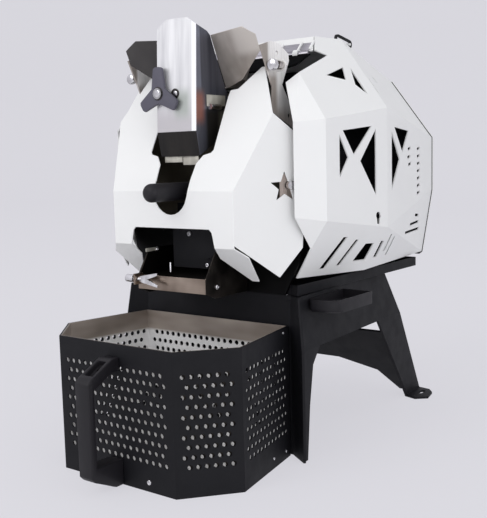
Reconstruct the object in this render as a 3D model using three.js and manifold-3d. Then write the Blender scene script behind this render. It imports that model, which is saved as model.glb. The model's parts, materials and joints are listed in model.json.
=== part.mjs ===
// Bench-top coffee roaster with a facetted sheet-metal body and a perforated cooling basket.
// Millimetres. +X is the machine's right, +Y its back, +Z up; the floor is z = 0.
// Inside the group y = 0 is the back wall of the basket; the group's position centres the length.

import * as THREE from 'three';
import { mergeVertices } from 'three/addons/utils/BufferGeometryUtils.js';
import Module from 'manifold-3d';

const wasm = await Module();
wasm.setup();

// Clearances and small shared sizes
const GAP = 0.3;
const RUN = 0.3;
const CUT = 1;
const WELD = 0.5;
const MERGE = 1e-4;
const ROUND = 32;
const FINE = 48;
const SMALL = 16;
const HEX = 6;

// Stand: a recessed front plate with two swept wings, two tapering sides and an arched rear plate
const stand = {
  sheet: 3,
  height: 180,
  kneeDrop: 58,
  lean: 8,
  wingHalf: 131,
  wingTopHalf: 123,
  panelHalf: 106,
  wingY: -14,
  panelY: 3,
  panelLift: 10,
  panelLiftHalf: 70,
  panelFootHalf: 90,
  sideHalf: 130,
  sideFrontY: -7,
  sideTopFrontY: -0.8,
  sideTopRearY: 221,
  kneeRearY: 254,
  taper: 0.0637,
  frontLegRearY: -2,
  frontLegMidY: 4.5,
  frontLegMidDrop: 62,
  frontLegHighY: 13,
  frontLegHighDrop: 18,
  archFrontY: 29,
  archRearY: 184.6,
  rearLegInnerY: 278,
  rearLegOuterY: 323,
  tabReach: 31,
  tabFrontY: 272,
  tabSideY: 284,
  tabCutReach: 26,
  tabCutY: 308,
  tabTipReach: 17,
  tabTipY: 319.5,
  slotReach: 12,
  slotY: 301,
  slotHalf: 5,
  slotRadius: 3.3,
  crossLift: 8,
  crossTopZ: 93,
  crossArchZ: 42,
  crossArchHalf: 26,
  crossShoulderZ: 28,
  crossShoulderHalf: 80,
  crossToe: 6,
};
stand.knee = stand.height - stand.kneeDrop;

// The body stands on the stand: its heights are for a stand that ends at the datum, and every
// piece of it is lifted by what the stand is taller than that
const body = { datum: 180 };
const bodyLift = stand.height - body.datum;
const standsOnFloor = (name) => /^(stand|side_tray|basket)/.test(name);

// Base pan between the stand and the body
const pan = {
  sheet: 1.5,
  half: 118,
  frontY: 5.6,
  cornerHalf: 106,
  cornerY: -0.5,
  rearY: 292,
  depth: 11.7,
};
pan.low = body.datum + GAP;
pan.floor = pan.low + pan.sheet;
pan.top = pan.low + pan.depth;

// Side tray on the right of the stand
const tray = {
  wall: 1.5,
  drop: 18,
  rimDrop: 4,
  reach: 28.6,
  frontY: 12,
  rearY: 95,
  inset: 0.8,
  cornerShare: 0.67,
  cornerMidShare: 0.954,
  cornerMidY: 19,
  cornerSideY: 30,
};
tray.low = stand.height - tray.drop;
tray.rim = stand.height - tray.rimDrop;
tray.outer = stand.sideHalf + tray.reach;

// Body shell stations: nose, shoulder, waist and tail, each with its heights and half widths
const shell = {
  sheet: 1.5,
  noseY: -17.3,
  noseHalf: 127.5,
  noseHigh: 366,
  noseLow: 267,
  shoulderY: 8.4,
  shoulderHalf: 151,
  shoulderHigh: 368.6,
  shoulderLow: 262,
  waistY: 131,
  waistHalf: 159,
  waistHigh: 383.6,
  waistLow: 246.4,
  tailY: 332.5,
  tailHalf: 122.5,
  tailHigh: 351.6,
  tailLow: 281.4,
  roofRise: 97.4,
  roofFrontY: 85,
  roofFrontHalf: 92,
  roofWaistHalf: 99,
  roofTailHalf: 62.5,
  hemWaistHalf: 127,
  hemWaistZ: 194,
  hemTailHalf: 107.5,
  hemTailZ: 195,
  hemFrontHalf: 112.2,
  hemFrontY: 7.4,
  hemFrontZ: 198.7,
  chinHalf: 132.3,
  chinY: 5.3,
  chinZ: 232.1,
  browHalf: 105,
  browY: 4,
  templeHalf: 115,
  templeY: 14.4,
  notchHalf: 108.4,
  notchY: 84.8,
  hingeHalf: 102.3,
  hingeY: 67.9,
};
shell.roofHigh = shell.shoulderHigh + shell.roofRise;
const ofRoofRise = (share) => shell.shoulderHigh + share * shell.roofRise;
shell.browZ = ofRoofRise(0.4148);
shell.templeZ = ofRoofRise(0.5216);
shell.notchZ = ofRoofRise(0.768);
shell.hingeZ = ofRoofRise(0.8172);
shell.roofTailHigh = shell.tailHigh + 0.805 * shell.roofRise;

// Rear panel, drawn a little larger than the shell that it closes
const rear = { sheet: 3, rim: 1, footHalf: 104, footZ: 191 };
rear.frontY = shell.tailY + GAP;
rear.backY = rear.frontY + rear.sheet;

// Drum, its housing and the plates that carry it
const drum = {
  axisZ: 315,
  radius: 78,
  wall: 1.5,
  frontY: 9,
  rearY: 225,
  lip: 2,
  mouth: 66,
  backWall: 3,
  vanes: 4,
  vaneReach: 19,
  vaneInset: 4,
};
const housing = { outer: 92.5, wall: 1.5, rearY: 234 };
const plate = {
  sheet: 3,
  frontY: 2.3,
  footHalf: 100,
  hipHalf: 118,
  hipZ: 215,
  waistHalf: 126,
  waistLow: 250,
  waistHigh: 340,
  armHalf: 92,
  armZ: 366,
  topHalf: 60,
  topZ: 403,
  portHalf: 34,
  portLow: 236,
  portHigh: 268,
  feedHalf: 22,
  feedLow: 348,
  feedHigh: 380,
};
plate.backY = plate.frontY + plate.sheet;
const bulkhead = {
  sheet: 3,
  footHalf: 110,
  shaftHole: 12,
  ventZ: 385,
  ventRadius: 13,
};
bulkhead.frontY = housing.rearY + GAP;
bulkhead.backY = bulkhead.frontY + bulkhead.sheet;

// Rollers that carry the front of the drum
const roller = { radius: 5.5, width: 8, pin: 2.5, angle: 40, setBack: 3.5 };
roller.orbit = drum.radius + RUN + roller.radius;
roller.frontY = drum.frontY + roller.setBack;

// Drum shaft, bearing, pulleys, belt and motor
const shaft = { radius: 8, flange: 24, flangeDepth: 4, tailY: 274 };
shaft.frontY = drum.rearY + GAP;
const bearing = { outer: 20, flange: 27, flangeDepth: 4, depth: 12 };
const drive = {
  bigRadius: 40,
  smallRadius: 20,
  pulleyFrontY: 258,
  pulleyDepth: 12,
  beltInset: 2,
  beltThick: 4,
  motorX: -62,
  motorZ: 250,
  motorRadius: 26,
  motorNeck: 15,
  motorFrontY: 277.3,
  motorNeckDepth: 6,
  motorRearY: 312,
  motorShaft: 5,
  shaftSeat: 14,
  bracketSheet: 3,
  bracketInner: -24,
  bracketOuter: -100,
  bracketTop: 290,
  bracketShoulder: 30,
  bracketFoot: 12,
};
drive.pulleyBackY = drive.pulleyFrontY + drive.pulleyDepth;
drive.bracketBackY = drive.motorFrontY - GAP;
drive.bracketFrontY = drive.bracketBackY - drive.bracketSheet;

// Exhaust fan and its collar on the rear panel
const fan = {
  x: 52,
  z: 262,
  half: 42,
  depth: 24.5,
  bore: 38,
  hub: 13,
  strut: 5,
  strutDepth: 4,
  blades: 7,
  bladeTip: 36,
  bladeThick: 1.6,
  bladePitch: 35,
  bladeDepth: 12,
  rotorSet: 6,
  rotorDepth: 14,
  axle: 3,
  collarFlange: 45,
  collarSheet: 2,
  collarOuter: 38,
  collarWall: 1.5,
  collarDepth: 16,
};
fan.frontY = rear.frontY - GAP - fan.depth;
fan.rotorFrontY = fan.frontY + fan.rotorSet;

// Heater, probe, board and mains inlet
const heater = { bar: 6, half: 28, frontY: 20, low: 229 };
const probe = { x: 40, z: 288, radius: 1.5, head: 5, headDepth: 5, reach: 60 };
const board = { x: 62, y: 265, length: 76, width: 38, thick: 4 };
const inlet = {
  x: -88,
  z: 236,
  width: 28,
  height: 50,
  depth: 24,
  proud: 2.2,
  socketHalf: 9,
  socketLow: 215,
  socketHigh: 231,
  socketDepth: 12,
  pocketHalf: 10,
  pocketZ: 249,
  pocketHalfHeight: 8,
  pocketDepth: 12,
  rockerHalf: 9.5,
  rockerLift: 1,
  rockerFoot: 4,
  rockerTop: 6.6,
  rockerShoulder: 9.5,
  rockerProud: 13.2,
  rockerValley: 11.8,
};
inlet.frontY = rear.backY + inlet.proud - inlet.depth;

// Roof lid, its hinge rod, pull loop and the baffle below its front edge
const lid = {
  sheet: 1.5,
  seam: 1.7,
  hingeTrim: 3,
  rearTrim: 1,
  knuckle: 1.8,
  knuckleWidth: 6,
  knuckleInnerX: 54,
  knuckleOuterX: 80,
};
const rod = { radius: 3.2, half: 96, setFront: 2.9, drop: 3.2 };
rod.y = shell.hingeY - rod.setFront;
rod.z = shell.hingeZ - rod.drop;
const baffle = {
  sheet: 2,
  half: 92,
  wideHalf: 100,
  drop: 20,
  stepY: 28,
  wideY: 34,
};
const loop = {
  x: 86,
  thick: 3,
  tailY: 170,
  lift: 5.8,
  length: 28,
  rise: 4.5,
  outer: 5,
  inner: 2.6,
  lug: 3,
  lugHalf: 3,
  pin: 1.6,
};

// Front cover: a lower face, an upper face that leans back, two side panels and two flaps
const cover = {
  sheet: 1.5,
  frontY: -69,
  half: 86,
  low: 237,
  bendLow: 240.5,
  bendHigh: 296.8,
  lean: 0.511,
  slew: 30.6,
  cheekZ: 376.2,
  topHalf: 83,
  topZ: 427,
  crestHalf: 79,
  neckHalf: 55,
  neckZ: 405,
  bayHalf: 44,
  bayEase: 1,
  bayHigh: 404,
  bayShoulder: 397,
  bayLow: 340,
  ledgeHalf: 42.5,
  ledgeZ: 337,
  throatHalf: 33,
  throatZ: 334.7,
  waistHalf: 26,
  waistZ: 326,
  slotHalf: 24.5,
  slotZ: 308.5,
  slotEdge: 25,
  slotFloor: 271,
  slotRound: 24,
  mouthHalf: 56.5,
  mouthFootHalf: 60,
  mouthHigh: 256.5,
  mouthCorner: 3.5,
  cheekOut: 70,
  cheekOutZ: 358,
  cheekEnd: 80,
  cheekEndHigh: 345,
  cheekEndLow: 248,
  jawOut: 51.6,
  jawZ: 203.8,
  jawBackZ: 233.6,
  jawEase: 1,
  starOut: 59,
  starZ: 299,
  starRadius: 16.5,
  starInner: 7,
  starPoints: 5,
  flapDip: 44,
  flapWideHalf: 97,
  flapWide: 14,
  flapLong: 56,
  flapTipHalf: 88,
  flapTipInner: 79,
  flapInnerHalf: 57,
  flapInner: 18,
};
const coverScrew = { out: 65, rise: 1.9, head: 4.5, headDepth: 5, shank: 2.5, reach: 9 };
const coverBracket = { sheet: 2, out: 54, low: 285, high: 313, flange: 14 };

// Feed box in the middle of the front, with its gate
const feed = {
  sheet: 1.5,
  half: 28,
  topY: -49,
  cheekZ: 473,
  crestHalf: 14.5,
  crestZ: 481.5,
  footY: -54.2,
  footZ: 361,
  earTopY: -31,
  earTopZ: 467.3,
  backTopY: -26,
  backTopZ: 463.5,
  seatY: 2,
  seatHigh: 402.5,
  seatLow: 392,
  backLowY: -1.6,
  backLowZ: 408,
  throatY: -23,
  throatZ: 348,
  toeY: -49,
  toeZ: 334,
};
const gate = {
  x: -21.5,
  z: 402.5,
  shaft: 3.2,
  headRadius: 6,
  headDepth: 1.4,
  knobFrontY: -58.5,
  knobDepth: 3.5,
  armTip: 27,
  armTipHalf: 6,
  armCrown: 28.5,
  waist: 10.5,
  arms: 3,
  bladeThick: 1.5,
  bladeInset: 1.8,
  bladeFrontY: -47.5,
  bladeRearY: -4,
};

// Hopper behind the feed box: two wings in front, sloping floor and a back wall
const hopper = {
  sheet: 1.5,
  wingTopHalf: 76,
  wingTopZ: 466,
  outHalf: 93.2,
  outZ: 457,
  lowZ: 441,
  backLowZ: 433,
  backOutZ: 443,
  backOutHalf: 46,
  backMidHalf: 40,
  backFloorHalf: 28,
  midHalf: 57,
  midZ: 415,
  floorHalf: 32,
  floorZ: 408,
  backY: 22,
  wingY: -26,
  wingZ: 463,
  wingSweep: -0.1385,
  wingRake: -0.4639,
};

// Posts beside the hopper, and the thumbscrews on them
const post = {
  sheet: 2,
  inner: 93.5,
  noseY: -28,
  noseZ: 446.2,
  crownY: -7.7,
  crownZ: 452,
  crownRearY: 5.6,
  crownRearZ: 451,
  shoulderY: 24.4,
  shoulderZ: 441,
  elbowY: 25.5,
  elbowZ: 433.6,
  waistY: 11.6,
  waistZ: 407.6,
  kneeY: 32.7,
  kneeZ: 378.1,
  toeY: 32.1,
  toeZ: 361.2,
  heelY: -10.5,
  heelZ: 379.1,
  chestY: -7,
  chestZ: 405,
  upperHoleY: 2.2,
  upperHoleZ: 440.2,
  lowerHoleY: 24.1,
  lowerHoleZ: 375,
  holeRadius: 2.6,
  flangeY: 0,
  flangeOut: 108,
  flangeLow: 420.5,
  flangeHigh: 433,
  flangeClip: 4,
};
const thumb = {
  x: 102,
  z: 426.5,
  head: 6,
  frontY: -18.5,
  headDepth: 5.5,
  neck: 2.2,
  collar: 4.6,
  collarFrontY: -8,
  shank: 2,
  tailY: 9,
};

// Trier: the sampling scoop with its handle
const trier = {
  z: 296,
  radius: 10,
  frontY: -105,
  dome: 7,
  rearY: -30,
  scoop: 7,
  tipY: 90,
  troughStart: 25,
  troughEnd: 84,
  troughRadius: 5.6,
};

// Discharge chute with its lip, slide, lug and wing bolt
const chute = {
  sheet: 1.5,
  half: 49,
  lipY: -72,
  lipLow: 187.2,
  lipHigh: 203.6,
  keelY: -56,
  keelZ: 181,
  rearY: 2,
  wallHigh: 231.6,
  wallPeakY: -53.5,
  slideFrontZ: 200,
  slideRearZ: 206,
};
const bolt = {
  y: -81,
  z: 200,
  knobEnd: -57,
  knobRadius: 4.5,
  neckEnd: -46,
  neckRadius: 2.5,
  wingStart: -38,
  wingEnd: -11,
  wingThick: 3,
  wingRoot: 3,
  wingTip: 8,
  wingWaist: -26,
  lugInner: -40.5,
  lugSheet: 2.5,
  lugFrontY: -86,
  lugHalf: 6,
};

// Discharge door inside the mouth, its pin and bracket
const door = {
  sheet: 3,
  frontY: -31,
  left: -31,
  right: 43.3,
  low: 208.5,
  high: 259,
  pinY: -25,
  pinZ: 259,
  pinRadius: 2.5,
  pinHalf: 47,
  barrel: 5.5,
  barrelLeft: -38,
  barrelRight: 40,
  bossX: 19,
  bossZ: 236,
  bossRadius: 16,
  bossProud: 3,
  armSheet: 2,
  armInner: 44,
  armFrontY: -32,
  armLow: 250,
  armHigh: 268,
  barLow: 271,
  barHigh: 280,
  flangeHalf: 50,
  flangeInner: 40,
};

// Cooling basket on the floor in front
const basket = {
  wall: 1.5,
  liner: 1,
  height: 147,
  rearHalf: 105,
  wideHalf: 125,
  wideY: -112.1,
  frontHalf: 80,
  frontY: -164.4,
  handleHalf: 9.5,
  handleFrontY: -208,
  gripBackY: -200,
  footTopHigh: 134,
  footTopLow: 120,
  footLowHigh: 28,
  footLowLow: 1,
  bridgeHigh: 120,
  bridgeLow: 14,
  gripHigh: 107,
  gripLow: 29,
  shoulder: 10,
};

// Materials
const look = (color, roughness, metalness) => ({ color, roughness, metalness });
const looks = {
  white: look(0xeceded, 0.45, 0.0),
  black: look(0x202126, 0.5, 0.3),
  stainless: look(0xa89f97, 0.35, 0.9),
  steel: look(0x8d8f92, 0.4, 0.9),
  chrome: look(0xd6d7da, 0.15, 1.0),
  slate: look(0x5a5a69, 0.55, 0.2),
  plastic: look(0x18181b, 0.45, 0.0),
  rubber: look(0x141414, 0.85, 0.0),
  green: look(0x1f5a38, 0.6, 0.1),
  copper: look(0x9a6a4a, 0.4, 0.8),
};

const roaster = new THREE.Group();
const rearmost = rear.backY + GAP + fan.collarSheet + fan.collarDepth;
roaster.position.y = -(basket.handleFrontY + rearmost) / 2;

const at = (x, y, z) => new THREE.Vector3(x, y, z);
const AXIS_X = at(1, 0, 0);
const AXIS_Y = at(0, 1, 0);
const AXIS_Z = at(0, 0, 1);
const radians = THREE.MathUtils.degToRad;

// A geometry with positions only, welded, without slivers and with its faces out
function tidied(geometry) {
  const bare = geometry.clone();
  bare.deleteAttribute('normal');
  bare.deleteAttribute('uv');
  const welded = mergeVertices(bare, MERGE);
  const order = Array.from(welded.index.array);
  const kept = [];
  for (let i = 0; i < order.length; i += 3) {
    const [a, b, c] = order.slice(i, i + 3);
    if (a !== b && b !== c && c !== a) kept.push(a, b, c);
  }
  welded.setIndex(kept);
  return signedVolume(welded) < 0 ? flipped(welded) : welded;
}

function signedVolume(geometry) {
  const place = geometry.attributes.position;
  const order = geometry.index.array;
  let total = 0;
  for (let i = 0; i < order.length; i += 3) {
    const [a, b, c] = [0, 1, 2].map((k) => new THREE.Vector3().fromBufferAttribute(place, order[i + k]));
    total += a.dot(b.cross(c));
  }
  return total;
}

function flipped(geometry) {
  const order = Array.from(geometry.index.array);
  for (let i = 0; i < order.length; i += 3) {
    [order[i + 1], order[i + 2]] = [order[i + 2], order[i + 1]];
  }
  geometry.setIndex(order);
  return geometry;
}

function mirrored(geometry) {
  return tidied(geometry.clone().scale(-1, 1, 1));
}

function solidOf(geometry) {
  const clean = tidied(geometry);
  const vertProperties = new Float32Array(clean.attributes.position.array);
  const triVerts = new Uint32Array(clean.index.array);
  return new wasm.Manifold(new wasm.Mesh({ numProp: 3, vertProperties, triVerts }));
}

function geometryOf(solid) {
  const mesh = solid.getMesh();
  const geometry = new THREE.BufferGeometry();
  geometry.setAttribute('position', new THREE.BufferAttribute(new Float32Array(mesh.vertProperties), 3));
  geometry.setIndex(Array.from(mesh.triVerts));
  return geometry;
}

function joined(...geometries) {
  return geometryOf(geometries.map(solidOf).reduce((sum, solid) => sum.add(solid)));
}

function cutBy(geometry, ...cutters) {
  return geometryOf(cutters.map(solidOf).reduce((rest, solid) => rest.subtract(solid), solidOf(geometry)));
}

function piece(name, geometry, { color, roughness, metalness }) {
  const material = new THREE.MeshStandardMaterial({ color, roughness, metalness });
  const lift = standsOnFloor(name) ? 0 : bodyLift;
  const mesh = new THREE.Mesh(tidied(geometry.clone().translate(0, 0, lift)), material);
  mesh.name = name;
  roaster.add(mesh);
}

// Plates cut from an outline, on the three main planes or in a plane of their own
function slab(outline, depth, origin, across, up, holes = []) {
  const toPoints = (list) => list.map(([a, b]) => new THREE.Vector2(a, b));
  const shape = new THREE.Shape(toPoints(outline));
  shape.holes = holes.map((hole) => new THREE.Path(toPoints(hole)));
  const geometry = new THREE.ExtrudeGeometry(shape, { depth, bevelEnabled: false });
  const basis = new THREE.Matrix4().makeBasis(across, up, across.clone().cross(up));
  return geometry.applyMatrix4(basis).translate(origin.x, origin.y, origin.z);
}

const frontSlab = (outline, frontY, backY, holes) =>
  slab(outline, backY - frontY, at(0, backY, 0), AXIS_X, AXIS_Z, holes);
const sideSlab = (outline, lowX, highX, holes) =>
  slab(outline, highX - lowX, at(lowX, 0, 0), AXIS_Y, AXIS_Z, holes);
const floorSlab = (outline, lowZ, highZ, holes) =>
  slab(outline, highZ - lowZ, at(0, 0, lowZ), AXIS_X, AXIS_Y, holes);

const rectangle = (a0, a1, b0, b1) => [[a0, b0], [a1, b0], [a1, b1], [a0, b1]];
const block = (x0, x1, y0, y1, z0, z1) => floorSlab(rectangle(x0, x1, y0, y1), z0, z1);
const bothSides = (half) => [...half, ...half.map(([a, b]) => [-a, b]).reverse()];

function circle(a, b, radius, steps = SMALL) {
  return Array.from({ length: steps }, (_, i) => {
    const angle = (2 * Math.PI * i) / steps;
    return [a + radius * Math.cos(angle), b + radius * Math.sin(angle)];
  });
}

// A turned piece: profile points are [radius, distance along the axis]
function turned(profile, origin, axis, steps = ROUND) {
  const closed = profile[0][0] > 0 ? [...profile, profile[0]] : profile;
  const geometry = new THREE.LatheGeometry(closed.map(([r, h]) => new THREE.Vector2(r, h)), steps);
  geometry.applyQuaternion(new THREE.Quaternion().setFromUnitVectors(AXIS_Y, axis));
  return geometry.translate(origin.x, origin.y, origin.z);
}

const bar = (radius, start, end, origin, axis, steps) =>
  turned([[0, start], [radius, start], [radius, end], [0, end]], origin, axis, steps);
const ring = (inner, outer, start, end, origin, axis, steps) =>
  turned([[inner, start], [outer, start], [outer, end], [inner, end]], origin, axis, steps);

// The outline moved inwards by a distance, for an outline that runs anticlockwise
function inset(outline, distance) {
  return outline.map((corner, i) => {
    const before = outline[(i + outline.length - 1) % outline.length];
    const after = outline[(i + 1) % outline.length];
    const [ax, ay] = unit(corner[0] - before[0], corner[1] - before[1]);
    const [bx, by] = unit(after[0] - corner[0], after[1] - corner[1]);
    const share = distance / (1 + ax * bx + ay * by);
    return [corner[0] - share * (ay + by), corner[1] + share * (ax + bx)];
  });
}

function unit(a, b) {
  const length = Math.hypot(a, b);
  return [a / length, b / length];
}

// Folded sheet metal. Corners lie on the outer skin; each facet lists its corner names
// anticlockwise as seen from outside, and its holes as lists of points on the facet.
function foldedSheet(corners, facets, thickness) {
  const normals = facets.map((facet) => ringNormal(facet.ring.map((name) => corners[name])));
  const under = {};
  for (const name of Object.keys(corners)) {
    const around = normals.filter((_, i) => facets[i].ring.includes(name));
    under[name] = corners[name].clone().add(mitre(around, thickness));
  }
  const seams = new Map();
  for (const { ring: names } of facets) {
    for (const [from, to] of steps(names)) {
      const key = [from, to].sort().join(' ');
      seams.set(key, (seams.get(key) ?? 0) + 1);
    }
  }
  const triangles = [];
  facets.forEach((facet, i) => {
    const normal = normals[i];
    const sink = normal.clone().multiplyScalar(-thickness);
    const flat = flattener(normal);
    const holes = (facet.holes ?? []).map((hole) => (area(hole.map(flat)) > 0 ? [...hole].reverse() : hole));
    const outer = facet.ring.map((name) => corners[name]);
    const top = [...outer, ...holes.flat()];
    const bottom = [
      ...facet.ring.map((name) => under[name]),
      ...holes.flat().map((point) => point.clone().add(sink)),
    ];
    const faces = THREE.ShapeUtils.triangulateShape(outer.map(flat), holes.map((hole) => hole.map(flat)));
    for (const face of faces) {
      const [a, b, c] = area(face.map((k) => flat(top[k]))) > 0 ? face : [...face].reverse();
      triangles.push([top[a], top[b], top[c]], [bottom[c], bottom[b], bottom[a]]);
    }
    for (const [from, to] of steps(facet.ring)) {
      const alone = seams.get([from, to].sort().join(' ')) === 1;
      if (alone) triangles.push(...wall(corners[from], corners[to], under[from], under[to]));
    }
    for (const hole of holes) {
      for (const [from, to] of steps(hole)) {
        triangles.push(...wall(from, to, from.clone().add(sink), to.clone().add(sink)));
      }
    }
  });
  const geometry = new THREE.BufferGeometry();
  const numbers = triangles.flat().flatMap((point) => point.toArray());
  geometry.setAttribute('position', new THREE.Float32BufferAttribute(numbers, 3));
  return tidied(geometry);
}

const steps = (list) => list.map((item, i) => [item, list[(i + 1) % list.length]]);
const wall = (from, to, lowFrom, lowTo) => [[to, from, lowFrom], [to, lowFrom, lowTo]];
const area = (points) => THREE.ShapeUtils.area(points);

function ringNormal(points) {
  const sum = at(0, 0, 0);
  for (const [from, to] of steps(points)) sum.add(from.clone().cross(to));
  return sum.normalize();
}

function flattener(normal) {
  const helper = Math.abs(normal.z) < Math.SQRT1_2 ? AXIS_Z : AXIS_X;
  const across = helper.clone().cross(normal).normalize();
  const up = normal.clone().cross(across);
  return (point) => new THREE.Vector2(point.dot(across), point.dot(up));
}

// The shortest step that sinks a corner by the thickness below every facet around it
function mitre(normals, thickness) {
  const soft = 1e-5;
  const m = [soft, 0, 0, 0, soft, 0, 0, 0, soft];
  const pull = at(0, 0, 0);
  for (const normal of normals) {
    const n = normal.toArray();
    for (let i = 0; i < 9; i += 1) m[i] += n[Math.floor(i / 3)] * n[i % 3];
    pull.addScaledVector(normal, -thickness);
  }
  return pull.applyMatrix3(new THREE.Matrix3(...m).invert());
}

// Points of a facet from shares along two of its edges
function onFacet(origin, alongEnd, upEnd, shares) {
  const along = alongEnd.clone().sub(origin);
  const up = upEnd.clone().sub(origin);
  return shares.map(([a, b]) => origin.clone().addScaledVector(along, a).addScaledVector(up, b));
}

// Stand front plate
function standFrontPlate() {
  const { panelHalf, wingHalf, wingTopHalf, wingY, panelY, knee, height } = stand;
  const topShare = (wingTopHalf - panelHalf) / (wingHalf - panelHalf);
  const topY = panelY + topShare * (wingY - panelY);
  const corners = {};
  for (const [side, sign] of [['r', 1], ['l', -1]]) {
    corners[`${side}Foot`] = at(sign * wingHalf, wingY, 0);
    corners[`${side}Knee`] = at(sign * wingHalf, wingY, knee);
    corners[`${side}Top`] = at(sign * wingTopHalf, topY, height);
    corners[`${side}In`] = at(sign * panelHalf, panelY, 0);
    corners[`${side}InTop`] = at(sign * panelHalf, panelY, height);
    corners[`${side}Toe`] = at(sign * stand.panelFootHalf, panelY, 0);
    corners[`${side}Lift`] = at(sign * stand.panelLiftHalf, panelY, stand.panelLift);
  }
  const facets = [
    { ring: ['lIn', 'lToe', 'lLift', 'rLift', 'rToe', 'rIn', 'rInTop', 'lInTop'] },
    { ring: ['rIn', 'rFoot', 'rKnee', 'rTop', 'rInTop'] },
    { ring: ['lFoot', 'lIn', 'lInTop', 'lTop', 'lKnee'] },
  ];
  return foldedSheet(corners, facets, stand.sheet);
}

// Stand side, with its leaning upper strip and the rear foot turned out at the floor
const sideX = (y) => stand.sideHalf - stand.taper * (y - stand.wingY);
const sideLean = stand.lean / (stand.height - stand.knee);
const leanedX = (y, z) => sideX(y) - sideLean * (z - stand.knee);

function standSide() {
  const { sheet, knee, height, lean } = stand;
  const outer = (y, z) => at(sideX(y), y, z);
  const leaned = (y) => at(sideX(y) - lean, y, height);
  const tab = (reach, y) => at(sideX(stand.rearLegOuterY) + reach, y, sheet);
  const corners = {
    frontFoot: outer(stand.sideFrontY, 0),
    frontHeel: outer(stand.frontLegRearY, 0),
    frontMid: outer(stand.frontLegMidY, knee - stand.frontLegMidDrop),
    frontHigh: outer(stand.frontLegHighY, knee - stand.frontLegHighDrop),
    archFront: outer(stand.archFrontY, knee),
    archRear: outer(stand.archRearY, knee),
    kneeFront: outer(stand.sideFrontY, knee),
    kneeRear: outer(stand.kneeRearY, knee),
    topFront: leaned(stand.sideTopFrontY),
    topRear: leaned(stand.sideTopRearY),
    rearInner: outer(stand.rearLegInnerY, sheet),
    rearOuter: outer(stand.rearLegOuterY, sheet),
    tabFront: tab(stand.tabTipReach, stand.tabFrontY),
    tabSide: tab(stand.tabReach, stand.tabSideY),
    tabCut: tab(stand.tabCutReach, stand.tabCutY),
    tabTip: tab(stand.tabTipReach, stand.tabTipY),
  };
  const slotX = sideX(stand.slotY) + stand.slotReach;
  const slot = capsule(slotX, stand.slotY, stand.slotHalf, stand.slotRadius);
  const facets = [
    { ring: ['kneeFront', 'archFront', 'archRear', 'kneeRear', 'topRear', 'topFront'] },
    { ring: ['frontFoot', 'frontHeel', 'frontMid', 'frontHigh', 'archFront', 'kneeFront'] },
    { ring: ['rearInner', 'rearOuter', 'kneeRear', 'archRear'] },
    {
      ring: ['rearInner', 'tabFront', 'tabSide', 'tabCut', 'tabTip', 'rearOuter'],
      holes: [slot.map(([x, y]) => at(x, y, sheet))],
    },
  ];
  return foldedSheet(corners, facets, sheet);
}

// A slot outline with round ends, long in the second coordinate
function capsule(a, b, half, radius, ends = 6) {
  const points = [];
  for (const sign of [1, -1]) {
    for (let i = 0; i <= ends; i += 1) {
      const angle = (sign > 0 ? 0 : Math.PI) + (Math.PI * i) / ends;
      points.push([a + radius * Math.cos(angle), b + sign * half + radius * Math.sin(angle)]);
    }
  }
  return points;
}

// Arched plate between the rear legs, in the slope of their front edges
function standRearPlate() {
  const slope = (stand.rearLegInnerY - stand.archRearY) / (stand.knee - stand.sheet);
  const up = at(0, -slope, 1).normalize();
  const stretch = Math.hypot(1, slope);
  const inside = (z) => sideX(stand.rearLegInnerY - slope * (z + stand.crossLift)) - stand.sheet - 2 * GAP;
  const rise = (half, z) => [half, z * stretch];
  const outline = bothSides([
    rise(stand.crossArchHalf, stand.crossArchZ),
    rise(stand.crossShoulderHalf, stand.crossShoulderZ),
    rise(inside(0) - stand.crossToe, 0),
    rise(inside(0), 0),
    rise(inside(stand.crossTopZ), stand.crossTopZ),
  ]);
  const drop = AXIS_X.clone().cross(up).multiplyScalar(stand.sheet);
  const origin = at(0, stand.rearLegInnerY + (stand.sheet - stand.crossLift) * slope, 0).sub(drop);
  return slab(outline, stand.sheet, origin, AXIS_X, up).translate(0, 0, stand.sheet + stand.crossLift);
}

function openTray(outline, low, high, thick) {
  const inner = inset(outline, thick);
  return cutBy(floorSlab(outline, low, high), floorSlab(inner, low + thick, high + CUT));
}

piece('stand_front_plate', standFrontPlate(), looks.black);
piece('stand_side_right', standSide(), looks.black);
piece('stand_side_left', mirrored(standSide()), looks.black);
piece('stand_rear_plate', standRearPlate(), looks.black);

const panOutline = [
  [-pan.cornerHalf, pan.frontY],
  [pan.cornerHalf, pan.frontY],
  [pan.half, pan.cornerY],
  [pan.half, pan.rearY],
  [-pan.half, pan.rearY],
  [-pan.half, pan.cornerY],
];
piece('base_pan', openTray(panOutline, pan.low, pan.top, pan.sheet), looks.black);

const trayInner = (y) => leanedX(y, tray.low) + tray.inset;
const trayAcross = (share) => trayInner(tray.frontY) + share * (tray.outer - trayInner(tray.frontY));
const trayOutline = [
  [trayInner(tray.frontY), tray.frontY],
  [trayAcross(tray.cornerShare), tray.frontY],
  [trayAcross(tray.cornerMidShare), tray.cornerMidY],
  [tray.outer, tray.cornerSideY],
  [tray.outer, tray.rearY],
  [trayInner(tray.rearY), tray.rearY],
];
piece('side_tray', openTray(trayOutline, tray.low, tray.rim, tray.wall), looks.black);

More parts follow.
